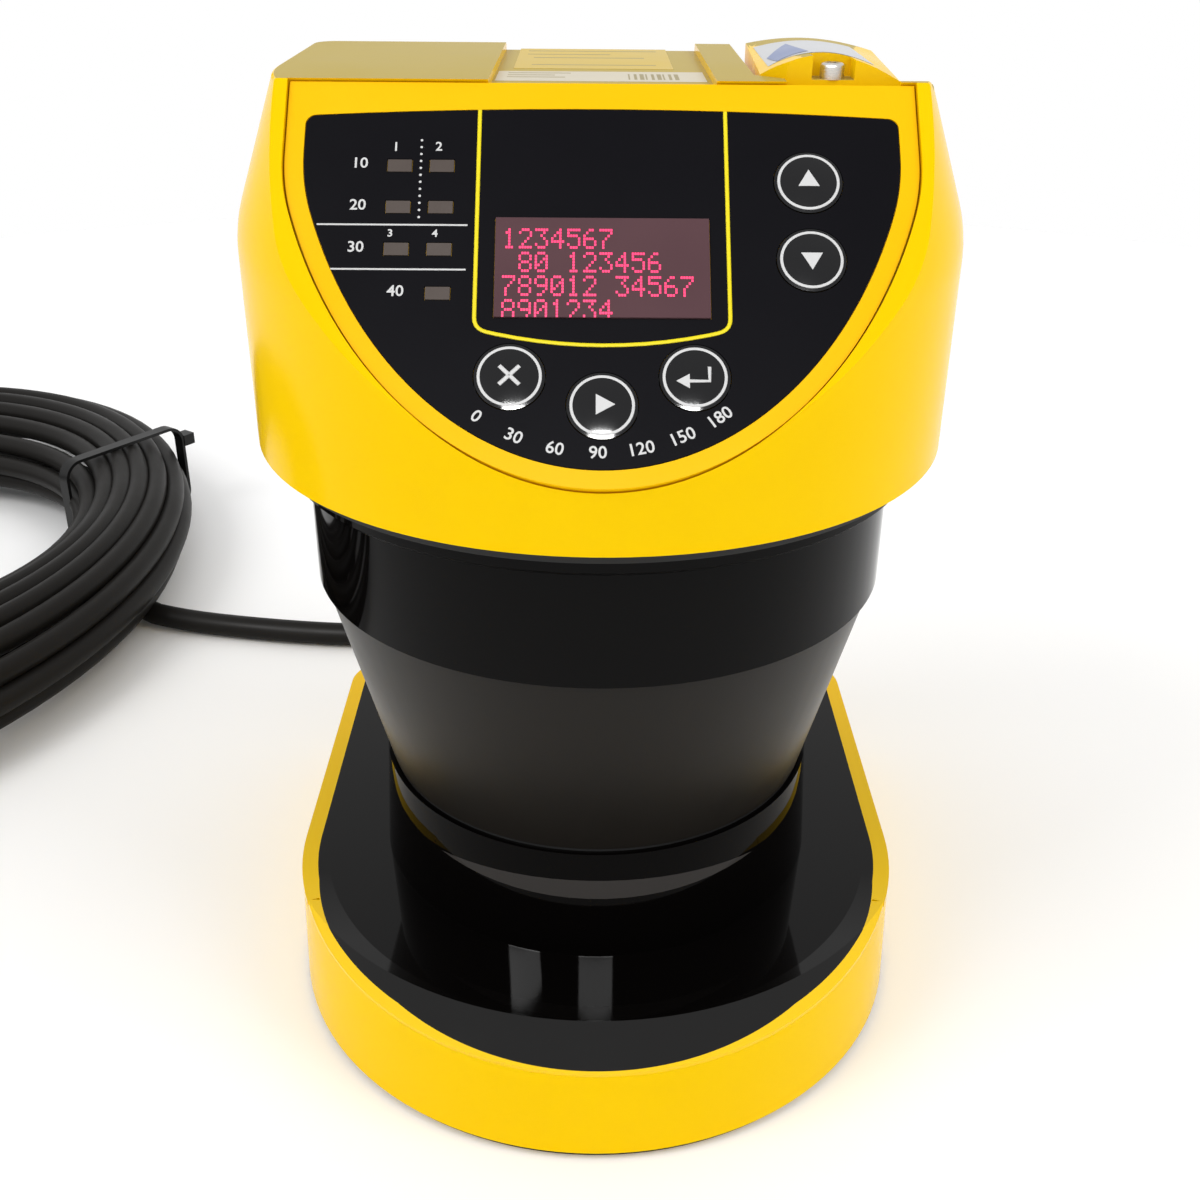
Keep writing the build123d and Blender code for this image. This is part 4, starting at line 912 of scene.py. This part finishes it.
COIL_CENTRE = Vector((-288.5, 168.0, 0.0))
COIL_OUTER = (135.0, 169.5)
COIL_INNER_AT = Vector((-277.0, 178.0, 0.0))
COIL_INNER = (88.0, 84.0)
BUNDLE_LOW = 4.1
BUNDLE_HALF_HEIGHT = 12.4
COIL_START = math.radians(10.0)
STRAND_START = math.radians(-80.0)
TIE_AT = math.radians(30.0)
TIE_LIFT = 1.5
TIE_REACH = 0.5
STRAND_EVENNESS = 0.14
PLUG_TURN = math.radians(-23.6)
PLUG_REAR = (-368.6, 25.5, 7.2)
CORD_TAIL = [(-394.0, 66.5, 9.0), (-386.5, 47.5, 8.0)]


def oval_point(centre, radii, around):
    """Point on a level oval at an angle."""
    return centre + Vector((radii[0] * math.cos(around), radii[1] * math.sin(around), 0))


def bundle_place(turn, strands):
    """Point on the strand after a number of turns, in millimetres."""
    around = COIL_START + 2 * math.pi * turn
    step = STRAND_START - 2 * math.pi * turn / strands
    even = step + STRAND_EVENNESS * math.sin(2 * step)
    across = (1.0 + math.cos(even)) / 2
    height = BUNDLE_HALF_HEIGHT * (1.0 + math.sin(even))
    off_tie = math.remainder(around - TIE_AT, 2 * math.pi)
    lift = TIE_LIFT * math.exp(-(off_tie / TIE_REACH) ** 2)
    outer = oval_point(COIL_CENTRE, COIL_OUTER, around)
    inner = oval_point(COIL_INNER_AT, COIL_INNER, around)
    flat = inner.lerp(outer, across)
    return Vector((flat.x, flat.y, BUNDLE_LOW + height + lift))


def cord_route(coil):
    """Control points from the gland to the plug, in metres."""
    exit_low, exit_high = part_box("gland_nut")
    x = (exit_low.x + exit_high.x) / 2 / MM
    z = (exit_low.z + exit_high.z) / 2 / MM
    y = exit_high.y / MM
    ground = BUNDLE_LOW
    route = [
        (x, y, z), (x, y + 20, z), (x - 10, y + 37, 10.0), (x - 32, y + 46, ground),
        (x - 62, y + 46, ground), (x - 92, y + 50, ground), (x - 120, y + 56, ground),
        (x - 142, y + 66, ground),
    ]
    count = int(coil.turns * coil.points_per_turn)
    for index in range(1, count + 1):
        route.append(tuple(bundle_place(index / coil.points_per_turn, coil.strands)))
    back = Vector((-math.cos(PLUG_TURN), -math.sin(PLUG_TURN), 0.0))
    entry = Vector(PLUG_REAR)
    route += CORD_TAIL
    route += [tuple(entry + 9.0 * back), tuple(entry), tuple(entry - 2.0 * back)]
    return [Vector(point) * MM for point in route]


class SCANNER_OT_cord(bpy.types.Operator):
    """Lays the cable from its gland into the tied coil."""

    bl_idname = "scanner.cord"
    bl_label = "Cable"

    def execute(self, context):
        coil = context.scene.scanner_cord
        points = cord_route(coil)
        curve = bpy.data.curves.new("cable_run", "CURVE")
        curve.dimensions = "3D"
        curve.resolution_u = 4
        curve.bevel_depth = coil.diameter / 2
        curve.bevel_resolution = 4
        curve.use_fill_caps = True
        line = curve.splines.new("NURBS")
        line.points.add(len(points) - 1)
        for control, place in zip(line.points, points):
            control.co = (*place, 1.0)
        line.order_u = 3
        line.use_endpoint_u = True
        cable = bpy.data.objects.new("cable_run", curve)
        context.collection.objects.link(cable)
        curve.materials.append(finish("cable_black"))
        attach(cable, UNIT)
        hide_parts("cable", "cable_coil")
        return {"FINISHED"}


# Stage


# Places and powers of the lamps; the panes only show as reflections
SOFT_LAMPS = (((-1.2, -0.6, 1.3), 11.0), ((1.2, -0.6, 1.3), 10.0))
SOFT_TARGET = (0, 0, 0.1)
SOFT_SIZE = (0.9, 0.9)
PANE_LAMPS = (((0.0, -0.64, 0.72), 12.0), ((-0.418, -0.497, 0.709), 11.0))
PANE_TARGET = (0, -0.05, 0.04)
PANE_SIZE = (0.21, 0.048)
WORLD_LIGHT = 0.80
FLOOR_RADIUS = 0.85
SENSOR_WIDTH = 36.0


def area_lamp(name, place, target, size, power):
    lamp = bpy.data.lights.new(name, "AREA")
    lamp.shape = "RECTANGLE"
    lamp.size, lamp.size_y = size
    lamp.energy = power
    holder = bpy.data.objects.new(name, lamp)
    bpy.context.collection.objects.link(holder)
    holder.location = place
    holder.rotation_euler = (Vector(target) - Vector(place)).to_track_quat("-Z", "Y").to_euler()
    return holder


def camera_turn(stage):
    """Rotation of a camera that looks down by pitch, right by yaw, and is rolled."""
    sight = Vector((
        math.sin(stage.yaw) * math.cos(stage.pitch),
        math.cos(stage.yaw) * math.cos(stage.pitch),
        -math.sin(stage.pitch)))
    right = Vector((math.cos(stage.yaw), -math.sin(stage.yaw), 0.0))
    up = right.cross(sight)
    right, up = (
        math.cos(stage.roll) * right + math.sin(stage.roll) * up,
        -math.sin(stage.roll) * right + math.cos(stage.roll) * up)
    return Matrix((right, up, -sight)).transposed().to_quaternion()


def floor_material(white):
    material, tree, surface = shader("pale floor")
    mottle = node(tree, "ShaderNodeTexNoise", {"Scale": 8.0, "Detail": 2.0})
    tone = tinted(tree, (white, white, white), mottle.outputs["Fac"], 0.003)
    tree.links.new(tone, surface.inputs["Base Color"])
    surface.inputs["Roughness"].default_value = 0.9
    surface.inputs["Specular IOR Level"].default_value = 0.0
    return material


def white_world():
    """Even white light, seen as plain white behind the object and in its reflections."""
    world = bpy.data.worlds.new("studio")
    world.use_nodes = True
    tree = world.node_tree
    soft = tree.nodes["Background"]
    soft.inputs["Color"].default_value = (1.0, 1.0, 1.0, 1.0)
    soft.inputs["Strength"].default_value = WORLD_LIGHT
    path = node(tree, "ShaderNodeLightPath")
    direct = math_chain(
        tree, path.outputs["Is Camera Ray"], ("MAXIMUM", path.outputs["Is Glossy Ray"]),
        ("MAXIMUM", path.outputs["Is Transmission Ray"]))
    white = node(tree, "ShaderNodeBackground", {"Color": (1.0, 1.0, 1.0, 1.0), "Strength": 1.0})
    mix = node(tree, "ShaderNodeMixShader", {"Fac": direct})
    tree.links.new(soft.outputs[0], mix.inputs[1])
    tree.links.new(white.outputs[0], mix.inputs[2])
    tree.links.new(mix.outputs[0], tree.nodes["World Output"].inputs["Surface"])
    return world


class SCANNER_OT_stage(bpy.types.Operator):
    """Sets the camera, the pale floor and the studio light."""

    bl_idname = "scanner.stage"
    bl_label = "Stage"

    def execute(self, context):
        stage = context.scene.scanner_stage
        lens = bpy.data.cameras.new("camera")
        lens.lens = stage.lens
        lens.sensor_width = SENSOR_WIDTH
        lens.clip_start = 0.01
        camera = bpy.data.objects.new("camera", lens)
        context.collection.objects.link(camera)
        camera.location = stage.eye
        camera.rotation_mode = "QUATERNION"
        camera.rotation_quaternion = camera_turn(stage)
        context.scene.camera = camera

        bpy.ops.mesh.primitive_circle_add(vertices=96, radius=FLOOR_RADIUS, fill_type="NGON")
        floor = context.object
        floor.name = "floor"
        floor.data.materials.append(floor_material(stage.floor_white))

        for place, power in SOFT_LAMPS:
            soft = area_lamp("lamp_soft", place, SOFT_TARGET, SOFT_SIZE, power)
            soft.visible_glossy = False
        for place, power in PANE_LAMPS:
            pane = area_lamp("lamp_pane", place, PANE_TARGET, PANE_SIZE, power)
            pane.visible_diffuse = False
        context.scene.world = white_world()
        context.scene.view_settings.view_transform = "Standard"
        return {"FINISHED"}


# Panel in the sidebar


class SCANNER_PT_build(bpy.types.Panel):
    """Lists the steps that dress the scanner."""

    bl_idname = "SCANNER_PT_build"
    bl_label = "Laser scanner"
    bl_space_type = "VIEW_3D"
    bl_region_type = "UI"
    bl_category = "Scanner"

    def draw(self, context):
        for step in STEPS:
            self.layout.operator(step.bl_idname)
        for name in ("scanner_finish", "scanner_print", "scanner_cord", "scanner_stage"):
            group = getattr(context.scene, name)
            for key in group.bl_rna.properties.keys():
                if key not in ("rna_type", "name"):
                    self.layout.prop(group, key)


STEPS = (
    SCANNER_OT_stage, SCANNER_OT_finishes, SCANNER_OT_cord, SCANNER_OT_film_marks,
    SCANNER_OT_key_marks, SCANNER_OT_readout, SCANNER_OT_labels, SCANNER_OT_deck_edge,
)
GROUPS = (ScannerFinishSettings, ScannerPrintSettings, ScannerCordSettings, ScannerStageSettings)
CLASSES = (*GROUPS, *STEPS, SCANNER_PT_build)


def register():
    for made in CLASSES:
        bpy.utils.register_class(made)
    bpy.types.Scene.scanner_finish = bpy.props.PointerProperty(type=ScannerFinishSettings)
    bpy.types.Scene.scanner_print = bpy.props.PointerProperty(type=ScannerPrintSettings)
    bpy.types.Scene.scanner_cord = bpy.props.PointerProperty(type=ScannerCordSettings)
    bpy.types.Scene.scanner_stage = bpy.props.PointerProperty(type=ScannerStageSettings)


def unregister():
    del bpy.types.Scene.scanner_stage
    del bpy.types.Scene.scanner_cord
    del bpy.types.Scene.scanner_print
    del bpy.types.Scene.scanner_finish
    for made in reversed(CLASSES):
        bpy.utils.unregister_class(made)


def main():
    register()
    bpy.ops.scanner.stage()
    bpy.ops.scanner.finishes()
    bpy.ops.scanner.cord()
    bpy.ops.scanner.film_marks()
    bpy.ops.scanner.key_marks()
    bpy.ops.scanner.readout()
    bpy.ops.scanner.labels()
    bpy.ops.scanner.deck_edge()


if __name__ == "__main__":
    main()
